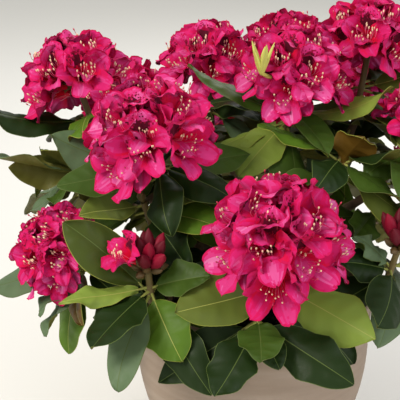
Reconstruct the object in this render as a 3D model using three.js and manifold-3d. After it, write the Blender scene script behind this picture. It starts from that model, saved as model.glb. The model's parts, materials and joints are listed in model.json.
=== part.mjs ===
import * as THREE from "three";
import { mergeVertices } from "three/addons/utils/BufferGeometryUtils.js";
import Module from "manifold-3d";

// A potted rhododendron in flower, in millimetres, +Z up.
// The origin is the middle of the pot's flat underside. The front of the plant faces -Y.

const wasm = await Module();
wasm.setup();

// Driving dimensions of the pot
const POT_HEIGHT = 215;
const FOOT_RADIUS = 84;
const BELLY_RADIUS = 133;
const BELLY_HEIGHT = 150;
const RIM_RADIUS = 137;
const POT_WALL = 12;
const POT_FLOOR = 16;
const LIP_ROUND = 4;
const POT_SIDES = 36;
const OUTER_STEPS = 4;
const SOIL_HEIGHT = 195;
// Heights where the inside of the pot bends, from its floor up
const INNER_HEIGHTS = [POT_FLOOR, 50, 95, BELLY_HEIGHT];

// Clearance between pieces that touch, and the least room kept between two masses
const CLEARANCE = 0.3;
const ROOM = 0.5;

// Edges shorter than this are taken out of a fused solid
const SMOOTHING = 0.04;

// Driving dimensions of the wood
const TRUNK_TOP = new THREE.Vector3(-5, 4, 246);
const TRUNK_RADIUS = 14;
const ROOT_FLARE = 10;
const FLARE_FADE = 10;
const TRUNK_TAPER = 3;
const TRUNK_SIDES = 10;
const FORK_DROP = 8;
const SIDE_BOUGH_RADIUS = 6;
const LIMB_SIDES = 5;
const LIMB_STEPS = 4;
const TWIG_RADIUS = 4;
const STEM_RADIUS = 3.6;
const STEM_BELOW_WHORL = 30;
const STEM_ABOVE_WHORL = 8;

// Driving dimensions of a leaf
const LEAF_LENGTH = 104;
const LEAF_SLENDERNESS = 0.46;
const LEAF_KEEL = 1.8;
const PETIOLE_RADIUS = 1.9;
const WHORL_DEPTH = 22;
const NAMED_DEPTH = 14;
const TRUSS_WHORL_LEAVES = 9;
const LEAFY_WHORL_LEAVES = 8;
const LOWEST_PITCH = -34;
const PITCH_UNDER_TRUSS = -4;
const PITCH_AT_TIP = 20;
const WHORL_TURN = 63;
const LEAST_ANGLE = 24;
const GOLDEN_ANGLE = 137.5;
const STATIONS = [0.36, 0.8];
const ROOT_OFFSET = 1.6;

// Leaves turn their faces upward and away from this point, by this share and at most this roll
const CROWN_HEART = [-10, 20, 250];
const OUTWARD_SHARE = 0.6;
const STEEPEST_ROLL = 50;

// Driving dimensions of a flower truss, as shares of its diameter
const FLORETS = 12;
const FLORET_REACH = 0.45;
const LOBE_RADIUS = 0.185;
const NOTCH_RADIUS = 0.14;
const TUBE_RADIUS = 0.05;
const TUBE_END = 0.5;
const THROAT_DEPTH = 0.6;
const NOTCH_SETBACK = 0.94;
const TRUSS_START = 48;
const TRUSS_TURN = 47;
const TRUSS_STALK = 0.3;
const DOME_EDGE = 96;
const HUB_RADIUS = 12;
const FLORET_ROOT = 3;

// Driving dimensions of a truss still in bud
const BUDS = 11;
const BUD_LENGTH = 42;
const BUD_RADIUS = 6.5;
const BUD_SPREAD = 46;
const SPINDLE_WIDEST = 0.58;

// Each shoot has its head, the middle of its truss or of its topmost leaves, and the way it leans:
// a heading, counted from +X towards +Y, and a tilt from upright, in degrees.
// A shoot grows from the trunk or from another shoot's bough, at a share of that bough's length.
// One flower of the left bud cluster is open: its heading and pitch, and the truss size that it suits.
// A bare shoot bears only the leaves that are named for it. A stalk is given where it is longer
// than a truss's size would make it.
const SHOOTS = [
  { name: "centre", head: [42, 24, 444], lean: [-60, 10], truss: 137, from: "trunk", radius: 9 },
  { name: "left", head: [-110, -60, 404], lean: [-110, 28], truss: 149, from: "trunk", radius: 9 },
  { name: "rear_left", head: [-197, 60, 431], lean: [165, 20], truss: 134, from: "trunk", radius: 9 },
  { name: "front", head: [17, -140, 321], lean: [-87, 26], truss: 155, stalk: 64, from: "trunk", radius: 8 },
  { name: "rear_right", head: [130, 80, 465], lean: [40, 12], truss: 135, from: "trunk", radius: 9 },
  { name: "right", head: [178, -8, 400], lean: [-20, 30], truss: 114, from: "trunk", radius: 8 },
  { name: "back", head: [5, 235, 345], lean: [90, 48], truss: 140, from: "trunk", radius: 8 },
  { name: "low_left", head: [-208, -64, 281], lean: [-145, 48], truss: 108, from: "trunk", radius: 7 },
  { name: "rear_middle", head: [-48, 130, 430], lean: [100, 8], truss: 133, from: "centre", at: 0.3 },
  { name: "rear_centre", head: [48, 178, 436], lean: [80, 14], truss: 128, from: "rear_right", at: 0.35 },
  { name: "back_left", head: [-146, 190, 368], lean: [125, 38], truss: 135, from: "rear_left", at: 0.35 },
  { name: "back_right", head: [156, 186, 392], lean: [50, 32], truss: 135, from: "rear_right", at: 0.55 },
  { name: "low_right", head: [226, 104, 312], lean: [24, 56], truss: 126, from: "right", at: 0.4 },
  { name: "bud_left", head: [-113, -118, 282], lean: [-110, 12], buds: 26, open: [-152, 41, 106],
    from: "left", at: 0.35 },
  { name: "bud_right", head: [147, -84, 292], lean: [-40, 16], buds: 26, from: "right", at: 0.3 },
  { name: "inner_left", head: [-118, -45, 322], lean: [-140, 20], from: "left", at: 0.6 },
  { name: "inner_right", head: [90, -22, 366], lean: [-40, 15], from: "centre", at: 0.5 },
  { name: "mid_right", head: [134, -4, 304], lean: [-10, 30], from: "right", at: 0.5 },
  { name: "side_left", head: [-188, 12, 340], lean: [175, 30], from: "rear_left", at: 0.6 },
  { name: "low_front", head: [-2, -146, 240], lean: [-90, 55], bare: true, from: "front", at: 0.5 },
  { name: "low_back", head: [-206, 130, 292], lean: [150, 50], from: "back_left", at: 0.4 },
];

// Leaves that give the front its outline: the shoot, heading, pitch, length, width, bend, and the
// roll that each has beyond turning its upper face out of the crown.
const NAMED_LEAVES = [
  ["front", -148, -4, 114, 54, 16, -8],
  ["front", -35, -15, 122, 56, 14, 8],
  ["low_front", -38, -19, 118, 50, 14, 0],
  ["low_front", -174, -31, 120, 44, -10, 0],
  ["low_front", -120, -37, 92, 44, 14, 0],
  ["low_front", -72, -30, 60, 30, 10, 0],
  ["low_front", -87, -16, 60, 44, 18, 0],
  ["bud_left", -51, -38, 122, 42, 12, 0],
  ["bud_left", -180, 46, 118, 52, 10, 0],
  ["bud_left", -118, -38, 110, 42, 10, 0],
  ["bud_left", -60, -36, 84, 50, 16, 0],
  ["bud_left", -127, -17, 98, 56, 14, 0],
  ["bud_left", -24, 20, 72, 38, 30, 0],
  ["bud_left", -155, 3, 94, 24, -30, 0],
  ["low_left", -99, -45, 66, 38, 16, 0],
  ["low_left", -134, -28, 76, 34, 12, 0],
  ["low_left", -117, -42, 88, 32, 12, 0],
  ["low_left", -176, -18, 102, 50, 10, 0],
  ["left", 174, 14, 126, 54, -44, -35],
  ["left", -163, -7, 110, 46, 20, -20],
  ["left", -30, -12, 94, 42, 20, 0],
  ["inner_left", -55, -22, 92, 44, 18, 0],
  ["inner_left", -8, 22, 92, 36, 16, 0],
  ["inner_left", -147, 8, 76, 44, -20, -30],
  ["centre", -138, -32, 92, 54, 14, -6],
  ["centre", 162, -38, 92, 38, 10, 0],
  ["centre", -172, 28, 127, 36, -22, -20],
  ["centre", -23, 18, 122, 40, -52, 25],
  ["inner_right", -61, 46, 64, 44, 24, 0],
  ["inner_right", -39, 20, 100, 42, 16, 0],
  ["inner_right", -52, 2, 88, 40, 16, 0],
  ["inner_right", -118, -6, 68, 40, 20, 0],
  ["rear_left", -160, 8, 112, 46, -36, -40],
  ["side_left", -150, 37, 70, 36, 20, -20],
  ["side_left", -160, 18, 104, 44, 10, 0],
  ["side_left", -167, 4, 84, 36, 20, 110],
  ["side_left", -110, -10, 70, 36, 4, 0],
  ["bud_right", -102, -44, 84, 42, 12, 0],
  ["bud_right", -158, 18, 62, 38, 20, 0],
  ["bud_right", -164, 42, 58, 26, 20, 0],
  ["bud_right", -8, -12, 96, 42, 20, 0],
  ["mid_right", -120, -9, 66, 36, 16, 0],
  ["right", -133, -8, 64, 38, 18, 0],
  ["rear_right", -28, 34, 110, 52, -70, 70],
];

// The young leafy spike that stands out between the florets of the centre truss
const SPIKE_KNEE = [17, -12, 454];
const SPIKE_TOP = [4, -28, 465];
const SPIKE_STEM_RADIUS = 2.6;
const SPIKE_STEM_STEPS = 3;
const SPIKE_LEAVES = 5;
const SPIKE_LEAF = 36;
const SPIKE_LEAF_RADIUS = 4;
const SPIKE_LEAF_PITCH = 76;
const SPIKE_SHORT_LEAF = 0.8;
const SPIKE_ROOT_RING = 1.2;
const SPIKE_ROOT_DEPTH = 2;

// A leaf that would touch a neighbour is turned, lowered or raised by these degrees before it is skipped
const TRIALS = [[0, 0], [0, -9], [0, 9], [11, -3], [-11, -3], [0, -18], [18, 5], [-18, 5]];

// Surface colours
const POTTERY = { color: 0xb7a392, roughness: 0.85 };
const COMPOST = { color: 0x3a2a20, roughness: 1.0 };
const BARK = { color: 0x6b5440, roughness: 0.9 };
const LEAF_GREEN = { color: 0x50702d, roughness: 0.45 };
const PETAL = { color: 0xd8285f, roughness: 0.6 };
const BUD_RED = { color: 0x6b1620, roughness: 0.6 };

const radians = THREE.MathUtils.degToRad;
const lerp = THREE.MathUtils.lerp;

// Seeded random numbers from 0 to 1
function seeded(seed) {
  let state = seed >>> 0;
  return () => {
    state = (state + 0x6d2b79f5) >>> 0;
    let mixed = Math.imul(state ^ (state >>> 15), state | 1);
    mixed = (mixed + Math.imul(mixed ^ (mixed >>> 7), mixed | 61)) ^ mixed;
    return ((mixed ^ (mixed >>> 14)) >>> 0) / 4294967296;
  };
}

// Unit direction at a heading and a pitch above level, in degrees
function aim(heading, pitch) {
  const level = Math.cos(radians(pitch));
  const turn = radians(heading);
  return new THREE.Vector3(level * Math.cos(turn), level * Math.sin(turn), Math.sin(radians(pitch)));
}

// A frame whose third direction is the given axis
function frameAlong(axis) {
  const aside = Math.abs(axis.z) > 0.9 ? new THREE.Vector3(1, 0, 0) : new THREE.Vector3(0, 0, 1);
  const first = new THREE.Vector3().crossVectors(aside, axis).normalize();
  const second = new THREE.Vector3().crossVectors(axis, first);
  return [first, second];
}

function signedVolume(points, faces) {
  const normal = new THREE.Vector3();
  let volume = 0;
  for (const [a, b, c] of faces) {
    volume += normal.crossVectors(points[a], points[b]).dot(points[c]) / 6;
  }
  return volume;
}

// A closed solid from points and triangles, with its faces turned outward
function solidFrom(points, faces) {
  const inward = signedVolume(points, faces) < 0;
  const vertProperties = new Float32Array(points.flatMap((point) => [point.x, point.y, point.z]));
  const triVerts = new Uint32Array(faces.flatMap(([a, b, c]) => (inward ? [a, c, b] : [a, b, c])));
  return new wasm.Manifold(new wasm.Mesh({ numProp: 3, vertProperties, triVerts }));
}

// A closed solid from a three.js geometry, without the flat triangles at its axis
function solidOf(geometry) {
  geometry.deleteAttribute("normal");
  geometry.deleteAttribute("uv");
  const merged = mergeVertices(geometry, 1e-3);
  const place = merged.getAttribute("position");
  const points = [];
  for (let k = 0; k < place.count; k += 1) {
    points.push(new THREE.Vector3().fromBufferAttribute(place, k));
  }
  const index = merged.getIndex().array;
  const faces = [];
  for (let k = 0; k < index.length; k += 3) {
    const [a, b, c] = index.slice(k, k + 3);
    if (a !== b && b !== c && c !== a) {
      faces.push([a, b, c]);
    }
  }
  return solidFrom(points, faces);
}

// Skin over rings of any count, flat over an end ring and pointed where an end is a single point
function loft(rings) {
  const points = rings.flat();
  const faces = [];
  let start = 0;
  for (let r = 0; r + 1 < rings.length; r += 1) {
    const [low, high] = [rings[r].length, rings[r + 1].length];
    const above = start + low;
    let [i, j] = [0, 0];
    while (i < low || j < high) {
      const stepLow = j === high || (i < low && (i + 1) / low < (j + 1) / high);
      if (stepLow && low > 1) {
        faces.push([start + i, start + ((i + 1) % low), above + (j % high)]);
      } else if (!stepLow && high > 1) {
        faces.push([start + (i % low), above + ((j + 1) % high), above + j]);
      }
      i += stepLow ? 1 : 0;
      j += stepLow ? 0 : 1;
    }
    start = above;
  }
  for (let k = 1; k + 1 < rings[0].length; k += 1) {
    faces.push([0, k + 1, k]);
  }
  for (let k = 1; k + 1 < rings.at(-1).length; k += 1) {
    faces.push([start, start + k, start + k + 1]);
  }
  return solidFrom(points, faces);
}

// The outer shell of the largest piece, so that sealed hollows are filled and scraps dropped
function oneBody(solid) {
  const pieces = solid.simplify(SMOOTHING).decompose();
  pieces.sort((a, b) => b.volume() - a.volume());
  return pieces[0];
}

const fuse = (solids) => oneBody(wasm.Manifold.union(solids));

// Radius of the pot's outside at a height: a bowl that steepens to its belly, then a slight flare
function potRadius(height) {
  if (height < BELLY_HEIGHT) {
    const below = 1 - height / BELLY_HEIGHT;
    return lerp(FOOT_RADIUS, BELLY_RADIUS, 1 - below * below);
  }
  return lerp(BELLY_RADIUS, RIM_RADIUS, (height - BELLY_HEIGHT) / (POT_HEIGHT - BELLY_HEIGHT));
}

function potSolid() {
  const profile = [new THREE.Vector2(0, 0)];
  for (let k = 0; k <= OUTER_STEPS; k += 1) {
    const height = (BELLY_HEIGHT * k) / OUTER_STEPS;
    profile.push(new THREE.Vector2(potRadius(height), height));
  }
  const lipHeight = POT_HEIGHT - LIP_ROUND;
  profile.push(new THREE.Vector2(potRadius(lipHeight), lipHeight));
  profile.push(new THREE.Vector2(RIM_RADIUS - LIP_ROUND, POT_HEIGHT));
  profile.push(new THREE.Vector2(RIM_RADIUS - POT_WALL + LIP_ROUND, POT_HEIGHT));
  profile.push(new THREE.Vector2(potRadius(lipHeight) - POT_WALL, lipHeight));
  for (const height of INNER_HEIGHTS.toReversed()) {
    profile.push(new THREE.Vector2(potRadius(height) - POT_WALL, height));
  }
  profile.push(new THREE.Vector2(0, POT_FLOOR));
  return turned(profile);
}

function compostSolid() {
  const profile = [new THREE.Vector2(0, POT_FLOOR + CLEARANCE)];
  for (const height of INNER_HEIGHTS) {
    const bottom = Math.max(height, POT_FLOOR + CLEARANCE);
    profile.push(new THREE.Vector2(potRadius(height) - POT_WALL - CLEARANCE, bottom));
  }
  profile.push(new THREE.Vector2(potRadius(SOIL_HEIGHT) - POT_WALL - CLEARANCE, SOIL_HEIGHT));
  profile.push(new THREE.Vector2(0, SOIL_HEIGHT));
  return turned(profile);
}

// A turned solid about +Z
function turned(profile) {
  const lathe = new THREE.LatheGeometry(profile, POT_SIDES);
  lathe.rotateX(Math.PI / 2);
  return solidOf(lathe);
}

// Rings of a tapering limb along a curve
function limbRings(curve, radiusAt, sides, steps) {
  const frames = curve.computeFrenetFrames(steps, false);
  const rings = [];
  for (let s = 0; s <= steps; s += 1) {
    const middle = curve.getPointAt(s / steps);
    const ring = [];
    for (let k = 0; k < sides; k += 1) {
      const turn = (2 * Math.PI * k) / sides;
      const radius = radiusAt(s / steps);
      ring.push(middle.clone()
        .addScaledVector(frames.normals[s], Math.cos(turn) * radius)
        .addScaledVector(frames.binormals[s], Math.sin(turn) * radius));
    }
    rings.push(ring);
  }
  return rings;
}

// The short trunk leans a little and flares into its roots, with a flat cut at the soil
function trunkRings(extra) {
  const foot = SOIL_HEIGHT + CLEARANCE;
  const levels = [0, 0.14, 0.34, 0.66, 1];
  return levels.map((share) => {
    const height = lerp(foot, TRUNK_TOP.z, share) + (share === 1 ? extra : 0);
    const above = height - foot;
    const ring = [];
    for (let k = 0; k < TRUNK_SIDES; k += 1) {
      const turn = (2 * Math.PI * k) / TRUNK_SIDES;
      const ridge = k % 2 === 0 ? 1.25 : 0.55;
      const flare = ROOT_FLARE * ridge * Math.exp(-above / FLARE_FADE);
      const radius = TRUNK_RADIUS - TRUNK_TAPER * share + flare + extra;
      ring.push(new THREE.Vector3(
        TRUNK_TOP.x * share + radius * Math.cos(turn),
        TRUNK_TOP.y * share + radius * Math.sin(turn),
        height,
      ));
    }
    return ring;
  });
}

const axisOf = (shoot) => aim(shoot.lean[0], 90 - shoot.lean[1]);

// The middle of a shoot's whorl of leaves, below its truss or buds
function whorlOf(shoot) {
  const stalk = shoot.stalk ?? (shoot.truss ? shoot.truss * TRUSS_STALK : shoot.buds ?? 0);
  return new THREE.Vector3(...shoot.head).addScaledVector(axisOf(shoot), -stalk);
}

// A bough's curve runs from its parent out to the foot of its shoot, and turns into the shoot's lean
function boughCurve(shoot, curves) {
  const end = whorlOf(shoot).addScaledVector(axisOf(shoot), -STEM_BELOW_WHORL);
  let start = TRUNK_TOP.clone().setZ(TRUNK_TOP.z - FORK_DROP);
  let leaving = new THREE.Vector3(end.x, end.y, 0).normalize().setZ(0.9).normalize();
  if (shoot.from !== "trunk") {
    const parent = curves.get(shoot.from);
    start = parent.getPointAt(shoot.at);
    leaving = parent.getTangentAt(shoot.at).add(end.clone().sub(start).normalize()).normalize();
  }
  const reach = start.distanceTo(end);
  return new THREE.CubicBezierCurve3(
    start,
    start.clone().addScaledVector(leaving, reach * 0.35),
    end.clone().addScaledVector(axisOf(shoot), -reach * 0.3),
    end,
  );
}

// Half-width of a leaf blade at a share of its length, as a share of its greatest half-width
function bladeShape(share) {
  return Math.sin(Math.PI * share ** 0.92) ** 0.62;
}

// The blade's own directions: along it, across it and out of its upper face
function bladeFrame(heading, pitch, roll) {
  const along = aim(heading, pitch);
  const across = new THREE.Vector3(Math.sin(radians(heading)), -Math.cos(radians(heading)), 0);
  across.applyAxisAngle(along, radians(roll));
  return { along, across, upper: new THREE.Vector3().crossVectors(across, along) };
}

// The roll that turns a leaf's upper face upward and out of the crown
function outwardRoll(root, heading, pitch) {
  const outward = root.clone().sub(new THREE.Vector3(...CROWN_HEART)).normalize();
  const target = outward.multiplyScalar(OUTWARD_SHARE).add(new THREE.Vector3(0, 0, 1 - OUTWARD_SHARE));
  const { across, upper } = bladeFrame(heading, pitch, 0);
  const roll = THREE.MathUtils.radToDeg(Math.atan2(target.dot(across), target.dot(upper)));
  return THREE.MathUtils.clamp(roll, -STEEPEST_ROLL, STEEPEST_ROLL);
}

// A point of the leaf's arched midrib at a share of its length
function midrib(leaf, frame, share) {
  const bend = radians(leaf.bend);
  const forward = (Math.sin(bend / 2) - Math.sin(bend / 2 - bend * share)) / bend;
  const rise = (Math.cos(bend / 2 - bend * share) - Math.cos(bend / 2)) / bend;
  return leaf.root.clone()
    .addScaledVector(frame.along, forward * leaf.length)
    .addScaledVector(frame.upper, rise * leaf.length);
}

// A leaf is a thin keeled blade on a short petiole whose root is sunk in the stem
function leafSolid(leaf) {
  const roll = leaf.roll + outwardRoll(leaf.root, leaf.heading, leaf.pitch);
  const frame = bladeFrame(leaf.heading, leaf.pitch, roll);
  const section = (middle, half, keel) => [
    middle.clone().addScaledVector(frame.across, half),
    middle.clone().addScaledVector(frame.across, -half),
    middle.clone().addScaledVector(frame.upper, -keel),
  ];
  const root = leaf.root.clone().addScaledVector(frame.along, ROOT_OFFSET);
  const rings = [section(root, PETIOLE_RADIUS, 2 * PETIOLE_RADIUS)];
  for (const share of STATIONS) {
    rings.push(section(midrib(leaf, frame, share), (leaf.width / 2) * bladeShape(share), LEAF_KEEL));
  }
  rings.push([midrib(leaf, frame, 1)]);
  return loft(rings);
}

// A floret is an open trumpet with five lobes, its narrow end sunk in the hub of the truss
function floretSolid(hub, axis, dorsal, size) {
  const side = new THREE.Vector3().crossVectors(axis, dorsal);
  const at = (forward, radius, turn) => hub.clone()
    .addScaledVector(axis, forward)
    .addScaledVector(dorsal, Math.cos(radians(turn)) * radius)
    .addScaledVector(side, Math.sin(radians(turn)) * radius);
  const tube = [0, 120, 240].map((turn) => at(size.reach * TUBE_END, size.tube, turn));
  const mouth = [];
  for (let lobe = 0; lobe < 5; lobe += 1) {
    mouth.push(at(size.reach, size.lobe, 72 * lobe));
    mouth.push(at(size.reach * NOTCH_SETBACK, size.notch, 72 * lobe + 36));
  }
  return loft([[at(FLORET_ROOT, 0, 0)], tube, mouth, [at(size.reach * THROAT_DEPTH, 0, 0)]]);
}

// Directions over a dome about an axis, evenly spread by the golden angle
function domeDirections(axis, count, edge, spin) {
  const [first, second] = frameAlong(axis);
  const directions = [];
  for (let k = 0; k < count; k += 1) {
    const polar = Math.acos(1 - ((k + 0.5) / count) * (1 - Math.cos(radians(edge))));
    const turn = radians(GOLDEN_ANGLE * k + spin);
    directions.push(new THREE.Vector3()
      .addScaledVector(axis, Math.cos(polar))
      .addScaledVector(first, Math.sin(polar) * Math.cos(turn))
      .addScaledVector(second, Math.sin(polar) * Math.sin(turn)));
  }
  return directions;
}

// The dorsal lobe of a floret lies towards the top of its truss
function dorsalOf(axis, direction) {
  const dorsal = axis.clone().addScaledVector(direction, -axis.dot(direction));
  return dorsal.lengthSq() > 1e-4 ? dorsal.normalize() : frameAlong(direction)[0];
}

// Everything placed so far, which a new leaf or floret has to keep clear of
const placed = [];

function remember(owner, solid) {
  placed.push({ owner, solid, box: solid.boundingBox() });
}

function boxesMeet(a, b) {
  return [0, 1, 2].every((k) => a.min[k] - ROOM < b.max[k] && b.min[k] - ROOM < a.max[k]);
}

function isClear(owner, solid) {
  const box = solid.boundingBox();
  return placed.every((other) => other.owner === owner || !boxesMeet(box, other.box)
    || solid.minGap(other.solid, 2 * ROOM) >= ROOM);
}

// The stem of a shoot carries its whorl and begins a clearance beyond its bough's tip
function stemSolid(shoot) {
  const axis = axisOf(shoot);
  const whorl = whorlOf(shoot);
  const line = new THREE.LineCurve3(
    whorl.clone().addScaledVector(axis, CLEARANCE - STEM_BELOW_WHORL),
    whorl.clone().addScaledVector(axis, STEM_ABOVE_WHORL),
  );
  return loft(limbRings(line, (share) => lerp(TWIG_RADIUS, STEM_RADIUS, share), LIMB_SIDES, 1));
}

// Stalk and hub of a truss, from a clearance above the stem to the middle of the flowers
function hubSolids(shoot) {
  const axis = axisOf(shoot);
  const head = new THREE.Vector3(...shoot.head);
  const foot = whorlOf(shoot).addScaledVector(axis, STEM_ABOVE_WHORL + CLEARANCE);
  const stalk = loft(limbRings(new THREE.LineCurve3(foot, head), () => STEM_RADIUS, LIMB_SIDES, 1));
  const hub = new THREE.OctahedronGeometry(HUB_RADIUS, 0);
  hub.translate(head.x, head.y, head.z);
  return [stalk, solidOf(hub)];
}

// Sizes of a floret that suits a truss of a given diameter
function floretSize(diameter) {
  return {
    reach: diameter * FLORET_REACH,
    lobe: diameter * LOBE_RADIUS,
    notch: diameter * NOTCH_RADIUS,
    tube: diameter * TUBE_RADIUS,
  };
}

function trussSolid(shoot, number) {
  const axis = axisOf(shoot);
  const head = new THREE.Vector3(...shoot.head);
  const pieces = hubSolids(shoot);
  const spin = TRUSS_START + number * TRUSS_TURN;
  for (const direction of domeDirections(axis, FLORETS, DOME_EDGE, spin)) {
    const floret = floretSolid(head, direction, dorsalOf(axis, direction), floretSize(shoot.truss));
    if (isClear(shoot.name, floret)) {
      pieces.push(floret);
    }
  }
  if (shoot.name === "centre") {
    pieces.push(...spikeSolids(head));
  }
  return fuse(pieces);
}

// A spindle is a slim pointed body, widest past its middle
function spindle(root, axis, length, radius, sides) {
  const [first, second] = frameAlong(axis);
  const ring = [];
  for (let k = 0; k < sides; k += 1) {
    const turn = (2 * Math.PI * k) / sides;
    ring.push(root.clone()
      .addScaledVector(axis, length * SPINDLE_WIDEST)
      .addScaledVector(first, Math.cos(turn) * radius)
      .addScaledVector(second, Math.sin(turn) * radius));
  }
  return loft([[root.clone()], ring, [root.clone().addScaledVector(axis, length)]]);
}

// A thin stem out of the truss, with narrow upright leaves at its end
function spikeSolids(head) {
  const top = new THREE.Vector3(...SPIKE_TOP);
  const line = new THREE.QuadraticBezierCurve3(head, new THREE.Vector3(...SPIKE_KNEE), top);
  const solids = [loft(limbRings(line, () => SPIKE_STEM_RADIUS, LIMB_SIDES, SPIKE_STEM_STEPS))];
  for (let k = 0; k < SPIKE_LEAVES; k += 1) {
    const length = SPIKE_LEAF * (k % 2 === 0 ? 1 : SPIKE_SHORT_LEAF);
    const heading = (360 / SPIKE_LEAVES) * k;
    const root = top.clone().addScaledVector(aim(heading, 0), SPIKE_ROOT_RING).setZ(top.z - SPIKE_ROOT_DEPTH);
    solids.push(spindle(root, aim(heading, SPIKE_LEAF_PITCH), length, SPIKE_LEAF_RADIUS, 3));
  }
  return solids;
}

function budTrussSolid(shoot, number) {
  const head = new THREE.Vector3(...shoot.head);
  const pieces = hubSolids(shoot);
  for (const direction of domeDirections(axisOf(shoot), BUDS, BUD_SPREAD, number * TRUSS_TURN)) {
    const root = head.clone().addScaledVector(direction, FLORET_ROOT);
    pieces.push(spindle(root, direction, BUD_LENGTH, BUD_RADIUS, 4));
  }
  if (shoot.open) {
    const [heading, pitch, diameter] = shoot.open;
    const direction = aim(heading, pitch);
    const upward = dorsalOf(new THREE.Vector3(0, 0, 1), direction);
    pieces.push(floretSolid(head, direction, upward, floretSize(diameter)));
  }
  return fuse(pieces);
}

// Leaves of a whorl by rule: a golden-angle spiral, the lower leaves hanging more
function whorlLeaves(shoot, number) {
  const random = seeded(1000 + number);
  const axis = axisOf(shoot);
  const whorl = whorlOf(shoot);
  const count = shoot.truss ? TRUSS_WHORL_LEAVES : LEAFY_WHORL_LEAVES;
  const topPitch = shoot.truss ? PITCH_UNDER_TRUSS : PITCH_AT_TIP;
  const leaves = [];
  for (let k = 0; k < count; k += 1) {
    const rise = (k + 0.5) / count;
    const turn = GOLDEN_ANGLE * k + number * WHORL_TURN + 16 * (random() - 0.5);
    const pitch = lerp(LOWEST_PITCH, topPitch, rise) + 12 * (random() - 0.5);
    const length = LEAF_LENGTH * lerp(1.04, 0.86, rise) * lerp(0.92, 1.08, random());
    const [first, second] = frameAlong(axis);
    const direction = new THREE.Vector3()
      .addScaledVector(first, Math.cos(radians(turn)) * Math.cos(radians(pitch)))
      .addScaledVector(second, Math.sin(radians(turn)) * Math.cos(radians(pitch)))
      .addScaledVector(axis, Math.sin(radians(pitch)));
    leaves.push({
      root: whorl.clone().addScaledVector(axis, (rise - 0.6) * WHORL_DEPTH),
      heading: THREE.MathUtils.radToDeg(Math.atan2(direction.y, direction.x)),
      pitch: THREE.MathUtils.radToDeg(Math.asin(direction.z)),
      length,
      width: length * LEAF_SLENDERNESS * lerp(0.92, 1.06, random()),
      roll: 30 * (random() - 0.5),
      bend: lerp(8, 34, random()),
    });
  }
  return leaves;
}

function namedLeaves(shoot) {
  const rows = NAMED_LEAVES.filter(([owner]) => owner === shoot.name);
  return rows.map(([, heading, pitch, length, width, bend, roll], k) => ({
    root: whorlOf(shoot).addScaledVector(axisOf(shoot), ((k + 0.5) / rows.length - 0.5) * NAMED_DEPTH),
    heading, pitch, length, width, roll, bend,
  }));
}

// A rule's leaf gives way where a named leaf of the same shoot already points
function pointsPast(leaf, named) {
  const way = aim(leaf.heading, leaf.pitch);
  return named.every((other) => aim(other.heading, other.pitch).angleTo(way) > radians(LEAST_ANGLE));
}

// The first trial of a leaf that touches nothing of another mass
function settle(owner, leaf) {
  for (const [turn, lift] of TRIALS) {
    const solid = leafSolid({ ...leaf, heading: leaf.heading + turn, pitch: leaf.pitch + lift });
    if (isClear(owner, solid)) {
      return solid;
    }
  }
  return null;
}

const shrub = new THREE.Group();

function addMesh(name, solid, finish, owner) {
  const { vertProperties, triVerts } = solid.getMesh();
  const geometry = new THREE.BufferGeometry();
  geometry.setAttribute("position", new THREE.BufferAttribute(vertProperties, 3));
  geometry.setIndex(new THREE.BufferAttribute(triVerts, 1));
  const mesh = new THREE.Mesh(geometry, new THREE.MeshStandardMaterial({ metalness: 0, ...finish }));
  mesh.name = name;
  shrub.add(mesh);
  remember(owner, solid);
}

addMesh("pot", potSolid(), POTTERY, "pot");
addMesh("compost", compostSolid(), COMPOST, "pot");
addMesh("trunk", loft(trunkRings(0)), BARK, "wood");

// Boughs, each cut clear of the limbs made before it
const curves = new Map();
const cutters = [loft(trunkRings(CLEARANCE))];
for (const shoot of SHOOTS) {
  const curve = boughCurve(shoot, curves);
  curves.set(shoot.name, curve);
  const thick = shoot.radius ?? SIDE_BOUGH_RADIUS;
  const radiusAt = (share) => lerp(thick, TWIG_RADIUS, share ** 0.8);
  const whole = loft(limbRings(curve, radiusAt, LIMB_SIDES, LIMB_STEPS));
  const bough = oneBody(whole.subtract(wasm.Manifold.union(cutters)));
  addMesh(`bough_${shoot.name}`, bough, BARK, `bough_${shoot.name}`);
  cutters.push(loft(limbRings(curve, (share) => radiusAt(share) + CLEARANCE, LIMB_SIDES, LIMB_STEPS)));
}

// Stems are placed first, then the blossom, so that the leaves make room for both
const masses = new Map();
for (const shoot of SHOOTS) {
  const stem = stemSolid(shoot);
  masses.set(shoot.name, [stem]);
  remember(`leaves_${shoot.name}`, stem);
}
SHOOTS.forEach((shoot, number) => {
  if (shoot.truss) {
    addMesh(`truss_${shoot.name}`, trussSolid(shoot, number), PETAL, `truss_${shoot.name}`);
  } else if (shoot.buds) {
    addMesh(`buds_${shoot.name}`, budTrussSolid(shoot, number), BUD_RED, `truss_${shoot.name}`);
  }
});

// Named leaves of every shoot go before the leaves that the rule adds
function growLeaf(shoot, leaf) {
  const owner = `leaves_${shoot.name}`;
  const solid = settle(owner, leaf);
  if (solid) {
    masses.get(shoot.name).push(solid);
    remember(owner, solid);
  }
}

for (const shoot of SHOOTS) {
  namedLeaves(shoot).forEach((leaf) => growLeaf(shoot, leaf));
}
SHOOTS.forEach((shoot, number) => {
  const named = namedLeaves(shoot);
  const leaves = shoot.bare ? [] : whorlLeaves(shoot, number).filter((leaf) => pointsPast(leaf, named));
  leaves.forEach((leaf) => growLeaf(shoot, leaf));
});
for (const shoot of SHOOTS) {
  addMesh(`leaves_${shoot.name}`, fuse(masses.get(shoot.name)), LEAF_GREEN, `leaves_${shoot.name}`);
}

export default shrub;
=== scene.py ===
import json
from math import acos, asin, atan2, cos, degrees, pi, radians, sin, sqrt
from types import SimpleNamespace

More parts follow.
